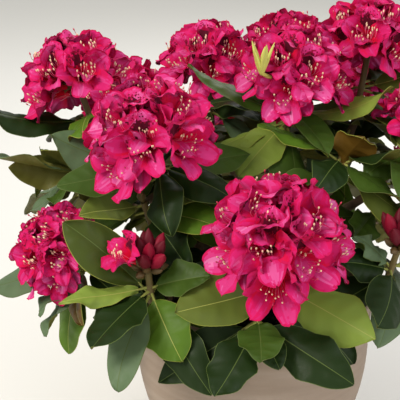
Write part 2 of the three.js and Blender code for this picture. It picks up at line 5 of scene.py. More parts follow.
import bpy
import numpy as np
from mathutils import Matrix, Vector

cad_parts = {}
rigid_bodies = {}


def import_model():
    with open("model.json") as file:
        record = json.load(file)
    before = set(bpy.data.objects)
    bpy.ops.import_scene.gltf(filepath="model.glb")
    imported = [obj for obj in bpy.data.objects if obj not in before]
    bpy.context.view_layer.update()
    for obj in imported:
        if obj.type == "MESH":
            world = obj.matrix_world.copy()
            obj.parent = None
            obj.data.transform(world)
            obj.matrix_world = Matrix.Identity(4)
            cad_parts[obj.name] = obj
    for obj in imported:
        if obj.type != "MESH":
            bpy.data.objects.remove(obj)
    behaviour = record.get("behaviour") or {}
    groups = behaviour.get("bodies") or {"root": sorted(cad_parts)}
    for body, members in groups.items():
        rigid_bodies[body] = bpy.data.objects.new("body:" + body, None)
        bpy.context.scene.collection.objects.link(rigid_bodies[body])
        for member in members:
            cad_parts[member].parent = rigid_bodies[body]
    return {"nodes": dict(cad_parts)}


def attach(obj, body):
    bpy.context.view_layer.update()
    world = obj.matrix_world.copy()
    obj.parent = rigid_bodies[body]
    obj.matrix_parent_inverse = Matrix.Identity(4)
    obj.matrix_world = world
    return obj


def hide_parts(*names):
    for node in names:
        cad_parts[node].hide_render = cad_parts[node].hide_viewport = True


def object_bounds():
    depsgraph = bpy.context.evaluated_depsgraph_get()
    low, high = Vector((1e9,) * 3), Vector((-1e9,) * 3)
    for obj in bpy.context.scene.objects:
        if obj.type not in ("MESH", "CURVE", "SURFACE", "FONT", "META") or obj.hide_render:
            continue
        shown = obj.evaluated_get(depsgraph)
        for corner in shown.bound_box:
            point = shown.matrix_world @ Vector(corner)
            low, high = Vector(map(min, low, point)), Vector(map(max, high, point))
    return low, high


# The looks of a potted rhododendron in flower, round the solids of the frame.
# Lengths are in millimetres, and turn into metres where a mesh, a light or the camera is made.
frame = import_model()
cad_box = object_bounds()

MM = 0.001
UP = np.array([0, 0, 1.0])
MASK = 0xFFFFFFFF
GOLDEN_ANGLE = 137.5

# Sizes of the pot and its fill, as the solids have them
POT_HEIGHT = 215
FOOT_RADIUS = 84
BELLY_RADIUS = 133
BELLY_HEIGHT = 150
RIM_RADIUS = 137
POT_WALL = 12
POT_FLOOR = 16
SOIL_HEIGHT = 195

# Sizes of the wood
TRUNK_TOP = np.array([-5.0, 4.0, 246.0])
TRUNK_RADIUS = 14
TRUNK_TAPER = 3
ROOT_FLARE = 10
FLARE_FADE = 10
FORK_DROP = 8
SIDE_BOUGH_RADIUS = 6
TWIG_RADIUS = 4
STEM_RADIUS = 3.6
STEM_BELOW_WHORL = 30
STEM_ABOVE_WHORL = 8

# Sizes of a leaf and of a whorl of leaves
LEAF_LENGTH = 104
LEAF_SLENDERNESS = 0.46
PETIOLE_RADIUS = 1.9
WHORL_DEPTH = 22
NAMED_DEPTH = 14
TRUSS_WHORL_LEAVES = 9
LEAFY_WHORL_LEAVES = 8
LOWEST_PITCH = -34
PITCH_UNDER_TRUSS = -4
PITCH_AT_TIP = 20
WHORL_TURN = 63
LEAST_ANGLE = 24
CROWN_HEART = np.array([-10.0, 20.0, 250.0])
OUTWARD_SHARE = 0.6
STEEPEST_ROLL = 50

# Shares of a truss's diameter, and other sizes of trusses and buds
FLORETS = 12
FLORET_REACH = 0.45
LOBE_RADIUS = 0.185
LOBE_SPREAD = 1.18
TRUSS_START = 48
TRUSS_TURN = 47
TRUSS_STALK = 0.3
DOME_EDGE = 96
BUDS = 11
BUD_LENGTH = 42
BUD_RADIUS = 6.5
BUD_SPREAD = 46
FLORET_ROOT = 3

# The shoots, each with its name, its head, its lean and what is unusual. The head is the middle of a
# truss or of the topmost leaves, and the lean is a heading, counted from +X towards +Y, and a tilt
# from upright. A shoot grows from the trunk, or from its parent's bough at a share of its length. A
# bare shoot bears only its named leaves, and a stalk is given where it is longer than usual. One bud
# is open: its heading and pitch, and the truss size that its flower suits.
USUAL_SHOOT = dict(truss=0, buds=0, stalk=0, radius=SIDE_BOUGH_RADIUS, parent="", bare=False, open=None)
SHOOT_ROWS = [
    ("centre", (42, 24, 444), (-60, 10), dict(truss=137, radius=9)),
    ("left", (-110, -60, 404), (-110, 28), dict(truss=149, radius=9)),
    ("rear_left", (-197, 60, 431), (165, 20), dict(truss=134, radius=9)),
    ("front", (17, -140, 321), (-87, 26), dict(truss=155, stalk=64, radius=8)),
    ("rear_right", (130, 80, 465), (40, 12), dict(truss=135, radius=9)),
    ("right", (178, -8, 400), (-20, 30), dict(truss=114, radius=8)),
    ("back", (5, 235, 345), (90, 48), dict(truss=140, radius=8)),
    ("low_left", (-208, -64, 281), (-145, 48), dict(truss=108, radius=7)),
    ("rear_middle", (-48, 130, 430), (100, 8), dict(truss=133, parent="centre", at=0.3)),
    ("rear_centre", (48, 178, 436), (80, 14), dict(truss=128, parent="rear_right", at=0.35)),
    ("back_left", (-146, 190, 368), (125, 38), dict(truss=135, parent="rear_left", at=0.35)),
    ("back_right", (156, 186, 392), (50, 32), dict(truss=135, parent="rear_right", at=0.55)),
    ("low_right", (226, 104, 312), (24, 56), dict(truss=126, parent="right", at=0.4)),
    ("bud_left", (-113, -118, 282), (-110, 12), dict(buds=26, parent="left", at=0.35, open=(-152, 41, 106))),
    ("bud_right", (147, -84, 292), (-40, 16), dict(buds=26, parent="right", at=0.3)),
    ("inner_left", (-118, -45, 322), (-140, 20), dict(parent="left", at=0.6)),
    ("inner_right", (90, -22, 366), (-40, 15), dict(parent="centre", at=0.5)),
    ("mid_right", (134, -4, 304), (-10, 30), dict(parent="right", at=0.5)),
    ("side_left", (-188, 12, 340), (175, 30), dict(parent="rear_left", at=0.6)),
    ("low_front", (-2, -146, 240), (-90, 55), dict(bare=True, parent="front", at=0.5)),
    ("low_back", (-206, 130, 292), (150, 50), dict(parent="back_left", at=0.4)),
]

# Leaves that give the front its outline, by their shoot: heading, pitch, length, width, bend, the
# roll beyond turning the upper face out of the crown, and the tint
LEAF_FIELDS = ["heading", "pitch", "length", "width", "bend", "roll", "tint"]
NAMED_LEAVES = {
    "front": [(-148, -4, 114, 54, 16, -8, "olive"), (-35, -15, 122, 56, 14, 8, "fresh")],
    "low_front": [
        (-38, -19, 118, 50, 14, 0, "deep"), (-174, -31, 120, 44, -10, 0, "deep"),
        (-120, -37, 92, 44, 14, 0, "deep"), (-72, -30, 60, 30, 10, 0, "deep"),
        (-87, -16, 60, 44, 18, 0, "mid"),
    ],
    "bud_left": [
        (-51, -38, 122, 42, 12, 0, "deep"), (-180, 46, 118, 52, 10, 0, "moss"),
        (-118, -38, 110, 42, 10, 0, "silver"), (-60, -36, 84, 50, 16, 0, "bright"),
        (-127, -17, 98, 56, 14, 0, "deep"), (-24, 20, 72, 38, 30, 0, "mid"),
        (-155, 3, 94, 24, -30, 0, "fresh"),
    ],
    "low_left": [
        (-99, -45, 66, 38, 16, 0, "amber"), (-134, -28, 76, 34, 12, 0, "silver"),
        (-117, -42, 88, 32, 12, 0, "silver"), (-176, -18, 102, 50, 10, 0, "silver"),
    ],
    "left": [
        (174, 14, 126, 54, -44, -35, "silver"), (-163, -7, 110, 46, 20, -20, "mid"),
        (-30, -12, 94, 42, 20, 0, "deep"),
    ],
    "inner_left": [
        (-55, -22, 92, 44, 18, 0, "deep"), (-8, 22, 92, 36, 16, 0, "fresh"),
        (-147, 8, 76, 44, -20, -30, "olive"),
    ],
    "centre": [
        (-138, -32, 92, 54, 14, -6, "fresh"), (162, -38, 92, 38, 10, 0, "silver"),
        (-172, 28, 127, 36, -22, -20, "mid"), (-23, 18, 122, 40, -52, 25, "fresh"),
    ],
    "inner_right": [
        (-61, 46, 64, 44, 24, 0, "amber"), (-39, 20, 100, 42, 16, 0, "deep"),
        (-52, 2, 88, 40, 16, 0, "mid"), (-118, -6, 68, 40, 20, 0, "deep"),
    ],
    "rear_left": [(-160, 8, 112, 46, -36, -40, "deep")],
    "side_left": [
        (-150, 37, 70, 36, 20, -20, "moss"), (-160, 18, 104, 44, 10, 0, "silver"),
        (-167, 4, 84, 36, 20, 110, "olive"), (-110, -10, 70, 36, 4, 0, "mid"),
    ],
    "bud_right": [
        (-102, -44, 84, 42, 12, 0, "silver"), (-158, 18, 62, 38, 20, 0, "deep"),
        (-164, 42, 58, 26, 20, 0, "silver"), (-8, -12, 96, 42, 20, 0, "deep"),
    ],
    "mid_right": [(-120, -9, 66, 36, 16, 0, "mid")],
    "right": [(-133, -8, 64, 38, 18, 0, "mid")],
    "rear_right": [(-28, 34, 110, 52, -70, 70, "olive")],
}

# The young leafy spike that stands out between the florets of the centre truss
SPIKE_KNEE = (17, -12, 454)
SPIKE_TOP = (4, -28, 465)
SPIKE_LEAVES = 5
SPIKE_LEAF = 36
SPIKE_LEAF_RADIUS = 4
SPIKE_LEAF_PITCH = 76

# The degrees by which the part's rule turns and lifts a leaf that would touch a neighbour
TRIALS = [(0, 0), (0, -9), (0, 9), (11, -3), (-11, -3), (0, -18), (18, 5), (-18, 5)]
TIP_MATCH = 0.3

# Tints of a leaf's upper face. Bright tints have a paler midrib than the others, and some a paler
# margin. One grey-green tint is a painted reflection of the pale sky. A whorl leaf with that tint,
# within LIKE_ANGLE of a named one, takes that one's tint, as leaves of one age have.
BRIGHT_TINTS = ["fresh", "bright", "olive", "amber"]
PALE_EDGED_TINTS = BRIGHT_TINTS + ["moss"]
COMMON_TINTS = ["mid", "deep", "deep", "olive", "mid", "deep", "silver", "bright"]
LIKE_ANGLE = 38

# Shades of the leaves and petals in 8-bit sRGB, in the order of their materials. The petals go from
# the throat out to the palest lobe, then come the rim and the dark marks. The throat's reds stand for
# light shining through the petals, the pale lobes' pinks are mostly painted highlight and the rim is
# painted shade. leaf_look and petal_look turn a name into the number of its material.
LEAF_SHADES = {
    "fresh": (126, 146, 60), "bright": (80, 110, 30), "mid": (60, 82, 26), "deep": (28, 46, 13),
    # The third shade of the next row is the pale sky's reflection, painted into a grey-green leaf
    "moss": (62, 74, 22), "olive": (94, 106, 42), "silver": (92, 112, 80), "amber": (100, 74, 22),
    "rib": (156, 160, 82), "deep_rib": (86, 102, 50), "edge": (140, 146, 62), "under": (102, 100, 44),
}
PETAL_SHADES = {
    "throat": (222, 4, 48), "crimson": (216, 5, 54), "red": (210, 6, 62), "ruby": (206, 8, 72),
    "rose": (202, 16, 88), "pink": (202, 30, 104), "light": (204, 52, 122), "pale": (210, 80, 144),
    "palest": (218, 112, 166), "rim": (196, 16, 84), "maroon": (138, 8, 50), "blotch": (84, 6, 32),
}
leaf_look = list(LEAF_SHADES).index
petal_look = list(PETAL_SHADES).index


def linear(shade):
    """An 8-bit sRGB shade as a linear colour with alpha."""
    parts = [value / 255 for value in shade]
    return [p / 12.92 if p <= 0.04045 else ((p + 0.055) / 1.055) ** 2.4 for p in parts] + [1.0]


def seeded(seed):
    """Random numbers from 0 to 1, drawn as the solids' rule draws them."""
    state = seed & MASK

    def draw():
        nonlocal state
        state = (state + 0x6D2B79F5) & MASK
        mixed = ((state ^ (state >> 15)) * (state | 1)) & MASK
        mixed = ((mixed + (mixed ^ (mixed >> 7)) * (mixed | 61)) & MASK) ^ mixed
        return ((mixed ^ (mixed >> 14)) & MASK) / 4294967296

    return draw


def lerp(a, b, share):
    return a + (b - a) * share


def draw_traits(thing, ranges, random):
    """Gives a thing traits at random between their two ends."""
    for trait, ends in ranges.items():
        setattr(thing, trait, lerp(*ends, random()))
    return thing


def unit(vector):
    return vector / np.linalg.norm(vector, axis=-1, keepdims=True)


def aim(heading, pitch):
    """Unit direction at a heading and a pitch above level, in degrees."""
    turn = radians(heading)
    rise = radians(pitch)
    return np.array([cos(rise) * cos(turn), cos(rise) * sin(turn), sin(rise)])


def frame_along(axis):
    """Two directions square to an axis."""
    aside = np.array([1.0, 0, 0]) if abs(axis[2]) > 0.9 else UP
    first = unit(np.cross(aside, axis))
    return first, np.cross(axis, first)


def bezier(points, shares):
    """Points of a Bezier curve at an array of shares."""
    t = np.asarray(shares, float)[..., None]
    layers = [np.asarray(point, float) for point in points]
    while len(layers) > 1:
        layers = [a * (1 - t) + b * t for a, b in zip(layers, layers[1:])]
    return layers[0]


def waves(points, wavelength, seed):
    """Smooth seeded noise, about -1 to 1."""
    random = np.random.default_rng(seed)
    total = np.zeros(points.shape[:-1])
    for _ in range(9):
        way = unit(random.normal(size=3)) * random.uniform(0.7, 1.5)
        total += np.sin(points @ way * (2 * pi / wavelength) + random.uniform(0, 6.28))
    return total / 3.6


def around(sides):
    """Angles evenly spread over a full turn, and the level directions at them."""
    turns = np.linspace(0, 2 * pi, sides, endpoint=False)
    return turns, np.stack([np.cos(turns), np.sin(turns), 0 * turns], axis=-1)


class Skin:
    """Points and faces gathered for one joined piece."""

    def __init__(self):
        self.points = []
        self.corners = []
        self.looks = []
        self.count = 0

    def add(self, points, faces, look):
        """look is the number of a material, or one for each face."""
        self.points.append(points.reshape(-1, 3))
        self.corners.append(faces + self.count)
        self.looks.append(np.broadcast_to(np.ravel(look), len(faces)))
        self.count += len(self.points[-1])

    def grid(self, points, look=0, closed=False):
        """Quads over rows and columns of points."""
        rows, columns = points.shape[:2]
        number = np.arange(rows * columns).reshape(rows, columns)
        if closed:
            number = np.concatenate([number, number[:, :1]], axis=1)
        quads = [number[:-1, :-1], number[:-1, 1:], number[1:, 1:], number[1:, :-1]]
        self.add(points, np.stack(quads, axis=-1).reshape(-1, 4), look)

    def fan(self, line, tip, look=0, closed=False):
        """Triangles from a line of points to a tip."""
        number = np.arange(len(line))
        if closed:
            number = np.append(number, 0)
        tips = np.full(len(number) - 1, len(line))
        faces = np.stack([number[:-1], number[1:], tips], axis=-1)
        self.add(np.concatenate([line, tip[None]]), faces, look)

    def mesh(self, name):
        points = np.concatenate(self.points) * MM
        corners = np.concatenate([faces.ravel() for faces in self.corners])
        sizes = np.concatenate([np.full(len(faces), faces.shape[1]) for faces in self.corners])
        mesh = bpy.data.meshes.new(name)
        mesh.vertices.add(len(points))
        mesh.vertices.foreach_set("co", points.astype(np.float32).ravel())
        mesh.loops.add(len(corners))
        mesh.loops.foreach_set("vertex_index", corners.astype(np.int32))
        mesh.polygons.add(len(sizes))
        mesh.polygons.foreach_set("loop_start", (np.cumsum(sizes) - sizes).astype(np.int32))
        mesh.polygons.foreach_set("material_index", np.concatenate(self.looks).astype(np.int32))
        mesh.polygons.foreach_set("use_smooth", np.ones(len(sizes), bool))
        mesh.update(calc_edges=True)
        mesh.validate()
        return mesh


def new_object(name, data):
    made = bpy.data.objects.new(name, data)
    bpy.context.scene.collection.objects.link(made)
    return made


def dress(name, skin, materials, slot, *nodes):
    """A piece that stands for CAD nodes and hides them."""
    mesh = skin.mesh(name)
    for material in materials:
        mesh.materials.append(material)
    piece = new_object(name, mesh)
    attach(piece, "root")
    if nodes:
        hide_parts(*nodes)


def tube(skin, path, radii, sides, look=0, aside=None, relief=0, pointed=False):
    """A tube along a path of points. aside is a direction that the path never follows."""
    tangents = unit(np.gradient(path, axis=0))
    if aside is None:
        aside = frame_along(unit(path[-1] - path[0]))[0]
    first = unit(np.cross(tangents, aside))
    second = np.cross(tangents, first)
    _, level = around(sides)
    ring = first[:, None] * level[:, :1] + second[:, None] * level[:, 1:2]
    radii = np.broadcast_to(np.asarray(radii, float), (len(path),))
    radius = np.repeat(radii[:, None], sides, axis=1) + relief
    points = path[:, None] + ring * radius[..., None]
    skin.grid(points, look, closed=True)
    if pointed:
        skin.fan(points[-1], path[-1] + tangents[-1] * radii[-1], look, closed=True)


# The growth rule of the solids


def along_curve(controls, shares):
    """Points and directions of a Bezier curve at shares of its length."""
    steps = np.linspace(0, 1, 201)
    dense = bezier(controls, steps)
    lengths = np.append(0, np.cumsum(np.linalg.norm(np.diff(dense, axis=0), axis=1)))
    t = np.interp(np.asarray(shares, float) * lengths[-1], lengths, steps)
    slopes = bezier(np.diff(np.array(controls), axis=0), t)
    return bezier(controls, t), unit(slopes)


def bough_curve(shoot, parent):
    """The controls of a bough, from its parent or the trunk to the foot of its shoot."""
    end = shoot.whorl - shoot.axis * STEM_BELOW_WHORL
    if parent:
        start, tangent = along_curve(parent.curve, shoot.at)
        leaving = unit(tangent + unit(end - start))
    else:
        start = TRUNK_TOP - UP * FORK_DROP
        leaving = unit(unit(end * (1, 1, 0)) + UP * 0.9)
    reach = np.linalg.norm(end - start)
    return [start, start + leaving * reach * 0.35, end - shoot.axis * reach * 0.3, end]


def planned_shoots():
    """Each shoot with its axis, the middle of its whorl of leaves and its bough's curve."""
    planned = {}
    for number, (name, head, (heading, tilt), unusual) in enumerate(SHOOT_ROWS):
        shoot = SimpleNamespace(**{**USUAL_SHOOT, **unusual}, name=name, number=number)
        shoot.head = np.array(head, float)
        shoot.axis = aim(heading, 90 - tilt)
        shoot.whorl = shoot.head - shoot.axis * (shoot.stalk or shoot.truss * TRUSS_STALK or shoot.buds)
        shoot.curve = bough_curve(shoot, planned.get(shoot.parent))
        planned[name] = shoot
    return list(planned.values())


def blade_frame(heading, pitch, roll):
    """The blade's own directions: along it, across it and out of its upper face."""
    along = aim(heading, pitch)
    level = np.array([sin(radians(heading)), -cos(radians(heading)), 0])
    turn = radians(roll)
    across = level * cos(turn) + np.cross(along, level) * sin(turn)
    return along, across, np.cross(across, along)


def outward_roll(root, heading, pitch):
    """The roll that turns a leaf's upper face upward and out of the crown."""
    target = unit(root - CROWN_HEART) * OUTWARD_SHARE + UP * (1 - OUTWARD_SHARE)
    _, across, upper = blade_frame(heading, pitch, 0)
    roll = degrees(atan2(target @ across, target @ upper))
    return min(max(roll, -STEEPEST_ROLL), STEEPEST_ROLL)


SHOOTS = planned_shoots()


def whorl_leaves(shoot):
    """Leaves of a whorl: a golden-angle spiral, the lower leaves hanging more."""
    random = seeded(1000 + shoot.number)
    axis = shoot.axis
    count = TRUSS_WHORL_LEAVES if shoot.truss else LEAFY_WHORL_LEAVES
    top_pitch = PITCH_UNDER_TRUSS if shoot.truss else PITCH_AT_TIP
    first, second = frame_along(axis)
    leaves = []
    for k in range(count):
        rise = (k + 0.5) / count
        turn = radians(GOLDEN_ANGLE * k + shoot.number * WHORL_TURN + 16 * (random() - 0.5))
        pitch = radians(lerp(LOWEST_PITCH, top_pitch, rise) + 12 * (random() - 0.5))
        length = LEAF_LENGTH * lerp(1.04, 0.86, rise) * lerp(0.92, 1.08, random())
        level = first * cos(turn) + second * sin(turn)
        way = level * cos(pitch) + axis * sin(pitch)
        leaves.append(SimpleNamespace(
            root=shoot.whorl + axis * (rise - 0.6) * WHORL_DEPTH,
            heading=degrees(atan2(way[1], way[0])),
            pitch=degrees(asin(way[2])),
            length=length,
            width=length * LEAF_SLENDERNESS * lerp(0.92, 1.06, random()),
            roll=30 * (random() - 0.5),
            bend=lerp(8, 34, random()),
            tint=COMMON_TINTS[(3 * k + 5 * shoot.number) % len(COMMON_TINTS)],
        ))
    return leaves


def named_leaves(shoot):
    rows = NAMED_LEAVES.get(shoot.name, [])
    leaves = [SimpleNamespace(**dict(zip(LEAF_FIELDS, row))) for row in rows]
    for k, leaf in enumerate(leaves):
        leaf.root = shoot.whorl + shoot.axis * ((k + 0.5) / len(rows) - 0.5) * NAMED_DEPTH
    return leaves


def tip_of(leaf, turn, lift):
    """The tip of a leaf that is turned and lifted by some degrees."""
    bend = radians(leaf.bend)
    chord = leaf.length * 2 * sin(bend / 2) / bend
    return leaf.root + aim(leaf.heading + turn, leaf.pitch + lift) * chord


def node_points(node):
    """The corners of a CAD node, in millimetres."""
    corners = frame["nodes"][node].data.vertices
    places = np.zeros(len(corners) * 3, np.float32)
    corners.foreach_get("co", places)
    return places.reshape(-1, 3) / MM


def solid_leaves(shoot):
    """The leaves that the solids have: those whose tip is a corner of the shoot's own node."""
    named = named_leaves(shoot)
    leaves = list(named)
    for leaf in [] if shoot.bare else whorl_leaves(shoot):
        way = aim(leaf.heading, leaf.pitch)
        nearness = [way @ aim(other.heading, other.pitch) for other in named]
        if max(nearness, default=-1) < cos(radians(LEAST_ANGLE)):
            leaves.append(leaf)
        for other, near in zip(named, nearness):
            # A whorl leaf with the painted sky reflection takes the tint of a named leaf that points near it
            if leaf.tint == "silver" and near > cos(radians(LIKE_ANGLE)):
                leaf.tint = other.tint
    corners = node_points(f"leaves_{shoot.name}")
    found = []
    for leaf in leaves:
        for turn, lift in TRIALS:
            if np.linalg.norm(corners - tip_of(leaf, turn, lift), axis=1).min() < TIP_MATCH:
                leaf.heading += turn
                leaf.pitch += lift
                leaf.roll += outward_roll(leaf.root, leaf.heading, leaf.pitch)
                found.append(leaf)
                break
    return found


# Leaves as fine shells

LEAF_ROWS = 25
BLADE_FOOT = 0.13
LEAF_THICKNESS = 0.55
VEIN_SLANT = 0.5
RIB_WIDTH = 0.6
EDGE_WIDTH = 0.5
BREADTH = 1.04
SIDE_SHARES = np.array([0.0, 0.14, 0.34, 0.55, 0.76, 1.0])
UNDER_COLUMNS = [0, 1, 2, 4, 6, 7, 9, 11, 12, 13]

# The least and the most of what makes one leaf differ from the next: how it folds, arches across,
# waves, drops at its tip, twists and sways, and how its outline wanders
LEAF_TRAITS = dict(
    fold=(-0.05, 0.42), camber=(0.05, 0.55), wave=(1.8, 5.2), drop=(-4, 9), waves=(1.2, 2.6),
    left_phase=(0, 6.28), right_phase=(0, 6.28), twist=(-22, 22), sway=(-0.09, 0.09),
    ragged=(0.02, 0.1), uneven=(-0.08, 0.08), taper=(0.6, 0.86),
)


def midrib(leaf, along, upper, share):
    """Points of the arched midrib and the directions out of the blade, at shares of its length."""
    bend = radians(leaf.bend)
    turn = bend / 2 - bend * share
    forward = (sin(bend / 2) - np.sin(turn)) / bend
    rise = (np.cos(turn) - cos(bend / 2)) / bend
    place = along * forward[..., None] + upper * rise[..., None]
    normal = upper * np.cos(turn)[..., None] - along * np.sin(turn)[..., None]
    return leaf.root + place * leaf.length, normal


def blade_outline(leaf, share, signs):
    """Half-width of the blade at a share of its length, as a share of its greatest half-width."""
    smooth = np.sin(pi * share ** 1.06) ** np.where(share < 0.5, 0.7, leaf.taper)
    phase = np.where(signs < 0, leaf.left_phase, leaf.right_phase)
    fading = np.sin(pi * share) ** 0.5
    ripple = leaf.ragged * np.sin(2.4 * pi * leaf.waves * share + phase) * fading
    return smooth * (1 + leaf.uneven * signs + ripple)


def blade_places(leaf):
    """Each point's row, share of the way out and of the leaf's length, place across and half-width."""
    sigma = (1 - np.cos(pi * np.linspace(0, 0.955, LEAF_ROWS))) / 2
    side = np.concatenate([-SIDE_SHARES[::-1], SIDE_SHARES])
    rows, shares = np.meshgrid(sigma, np.abs(side), indexing="ij")
    signs = np.repeat([-1.0, 1.0], len(SIDE_SHARES))[None, :]
    slanted = rows + VEIN_SLANT * shares * rows * (1 - rows)
    rib = RIB_WIDTH * (1 - 0.6 * rows)
    half = leaf.width / 2 * BREADTH * blade_outline(leaf, slanted, signs)
    half = np.maximum(half, rib + EDGE_WIDTH + 0.4)
    offset = signs * (rib + (half - EDGE_WIDTH - rib) * shares)
    share = BLADE_FOOT + (1 - BLADE_FOOT) * slanted
    fields = [np.pad(field, ((0, 0), (1, 1)), mode="edge") for field in (rows, shares, share, offset, half)]
    offset, half = fields[3:]
    offset[:, [0, -1]] = half[:, [0, -1]] * (-1, 1)
    return fields


def blade_height(leaf, rows, shares, share, offset, half):
    """How far a blade's points stand out: its fold, waves, sunk veins and drooping tip."""
    vein = np.where(np.arange(LEAF_ROWS) % 3 == 0, -1.2, 0.5)[:, None]
    phase = np.where(offset < 0, leaf.left_phase, leaf.right_phase)
    height = (leaf.fold * shares - leaf.camber * shares ** 2) * half
    height += leaf.wave * shares ** 2 * np.sin(2 * pi * leaf.waves * share + phase)
    height += 0.3 * leaf.wave * shares ** 4 * np.sin(3.8 * pi * leaf.waves * share + 2 * phase)
    height += vein * np.sin(pi * shares) * np.sqrt(rows * (1 - rows)) * 2
    height -= 0.5 * np.exp(-((offset / 1.6) ** 2))
    return height - leaf.drop * np.clip((share - 0.66) / 0.34, 0, 1) ** 2


def grow_blade(skin, leaf, along, across, upper):
    """A thin leathery shell: sunk veins above, a keel and a paler face below, and a pale margin."""
    fields = blade_places(leaf)
    rows, shares, share, offset, _ = fields
    place, normal = midrib(leaf, along, upper, share)
    twist = (radians(leaf.twist) * (share - 0.3))[..., None]
    crosswise = across * np.cos(twist) + normal * np.sin(twist)
    normal = normal * np.cos(twist) - across * np.sin(twist)
    swayed = offset + leaf.sway * leaf.length * share ** 2
    points = place + crosswise * swayed[..., None] + normal * blade_height(leaf, *fields)[..., None]
    keel = 1.3 * np.exp(-((offset / 1.5) ** 2)) * (1 - 0.75 * rows)
    below = points - normal * (LEAF_THICKNESS + 0.6 * np.sin(pi * shares) + keel)[..., None]
    tip, tip_normal = midrib(leaf, along, upper, np.array([1.0]))
    tip = (tip + across * leaf.sway * leaf.length - tip_normal * leaf.drop)[0]

    edge = leaf_look("edge" if leaf.tint in PALE_EDGED_TINTS else "deep_rib")
    under = leaf_look("amber" if leaf.tint == "amber" else "under")
    looks = np.full((points.shape[0] - 1, points.shape[1] - 1), leaf_look(leaf.tint))
    looks[:, [0, -1]] = edge
    looks[:, looks.shape[1] // 2] = leaf_look("rib" if leaf.tint in BRIGHT_TINTS else "deep_rib")
    skin.grid(points, looks)
    skin.fan(points[-1], tip, looks[-1])
    coarse = below[:, UNDER_COLUMNS]
    skin.grid(coarse.swapaxes(0, 1), under)
    skin.fan(coarse[-1][::-1], tip - tip_normal[0] * LEAF_THICKNESS, under)
    for column in (0, -1):
        skin.grid(np.stack([points[:, column], below[:, column]]), edge)


def grow_leaf(skin, leaf):
    """A leaf stalk along the foot of the midrib, and the blade."""
    along, across, upper = blade_frame(leaf.heading, leaf.pitch, leaf.roll)
    path, normal = midrib(leaf, along, upper, np.linspace(0, BLADE_FOOT + 0.03, 5))
    path = path - normal * np.linspace(1.2, 0.9, 5)[:, None]
    tube(skin, path, np.linspace(PETIOLE_RADIUS, 1.15, 5), 6, leaf_look("rib"), aside=upper)
    grow_blade(skin, leaf, along, across, upper)


# Older leaves, which fill the crown between the solids' leaves

OLDER_LEAVES = 12

# The room round them: at the solids' box, the pot's rim and other leaves in millimetres, and at the
# middle of a truss or a whorl as a share of its size
BOX_ROOM = 3
RIM_ROOM = 4
LEAF_ROOM = 5.5
FLOWER_ROOM = 0.46
WHORL_SIZE = 84


def leaf_samples(leaf):
    """Points spread over a blade, to tell whether it has room."""
    along, across, upper = blade_frame(leaf.heading, leaf.pitch, leaf.roll)
    share = np.array([0.25, 0.4, 0.55, 0.7, 0.85, 1.0])
    place, _ = midrib(leaf, along, upper, share)
    half = leaf.width / 2 * np.array([0.7, 1, 1, 0.9, 0.6, 0])
    return np.concatenate([place + across * (side * half)[:, None] for side in (-1, -0.4, 0.4, 1)])


def has_room(samples, taken):
    """True where a blade stays in the solids' box and off the pot, the flowers and other leaves."""
    low, high = (np.array(corner) / MM for corner in cad_box)
    if (samples < low + BOX_ROOM).any() or (samples > high - BOX_ROOM).any():
        return False
    spread = np.linalg.norm(samples[:, :2], axis=1)
    if ((samples[:, 2] < POT_HEIGHT + BOX_ROOM) & (spread < RIM_RADIUS + RIM_ROOM)).any():
        return False
    for shoot in SHOOTS:
        apart = np.linalg.norm(samples - shoot.head, axis=1)
        if (apart < (shoot.truss or WHORL_SIZE) * FLOWER_ROOM).any():
            return False
    return np.linalg.norm(samples[:, None] - taken[None], axis=2).min() > LEAF_ROOM


def older_leaves(shoot, taken):
    """Leaves along the outer part of a bough, hanging a little, where there is room."""
    random = seeded(2000 + shoot.number)
    grown = []
    for k in range(OLDER_LEAVES):
        share = lerp(0.45, 1.0, (k + 0.5) / OLDER_LEAVES)
        root, _ = along_curve(shoot.curve, share)
        leaf = SimpleNamespace(
            root=root,
            heading=GOLDEN_ANGLE * k + 71 * shoot.number + 20 * random(),
            pitch=lerp(-48, 24, random()),
            length=lerp(78, 100, random()),
            width=0,
            roll=20 * (random() - 0.5),
            bend=lerp(10, 34, random()),
            tint=COMMON_TINTS[(5 * k + shoot.number) % len(COMMON_TINTS)],
        )
        leaf.width = leaf.length * LEAF_SLENDERNESS
        leaf.roll += outward_roll(leaf.root, leaf.heading, leaf.pitch)
        samples = leaf_samples(leaf)
        if has_room(samples, taken):
            taken = np.concatenate([taken, samples])
            grown.append(leaf)
    return grown, taken


# Florets as fine trumpets

# Rows and columns of the dorsal lobe, with its dark marks, and of the other lobes
FINE_GRIDS = ((26, 18), (18, 12))
COARSE_GRIDS = ((16, 10), (12, 8))
LOBES = 5
LOBE_TURN = 360 / LOBES
HALF_TURN = LOBE_TURN / 2
MOUTH = 0.4
LOBE_WIDEST = 0.5
LOBE_WIDTH = 0.47
FLORET_FOOT = 0.3
FLORET_MIDDLE = 0.8


def lobe_width(share, root):
    """Half-width of a lobe: root where it leaves the funnel, 1 at its widest, then a rounded tip."""
    rising = root + (1 - root) * np.sin(pi / 2 * np.clip(share / LOBE_WIDEST, 0, 1))
    outer = np.clip(share - LOBE_WIDEST, 0, None) / (1 - LOBE_WIDEST)
    return rising * (1 - outer ** 2.3) ** 0.56


# The least and the most of a lobe's traits: how it leans, curls and cups, and its skewed and notched
# tip. The side lobes and the lower ones have some traits of their own.
LOBE_TRAITS = dict(lean=(4, 18), curl=(-10, 26), cup=(-0.08, 0.12), skew=(-3, 3), notch=(-2, 2.6))
SIDE_TRAITS = dict(length=(0.94, 1.1), width=(0.92, 1.1), lean=(-10, 14), curl=(-30, 32), cup=(-0.12, 0.28))
LOWER_TRAITS = dict(length=(1.02, 1.16), width=(0.8, 0.96), lean=(-8, 10), curl=(-18, 22), cup=(-0.12, 0.12))


def lobe_manner(k, random):
    """How one lobe grows, counted from the dorsal lobe round to the others."""
    manner = draw_traits(SimpleNamespace(length=1.04, width=1.12, hang=1), LOBE_TRAITS, random.random)
    if k:
        manner.hang, traits = (3, LOWER_TRAITS) if k in (2, 3) else (2, SIDE_TRAITS)
        draw_traits(manner, traits, random.random)
    return manner


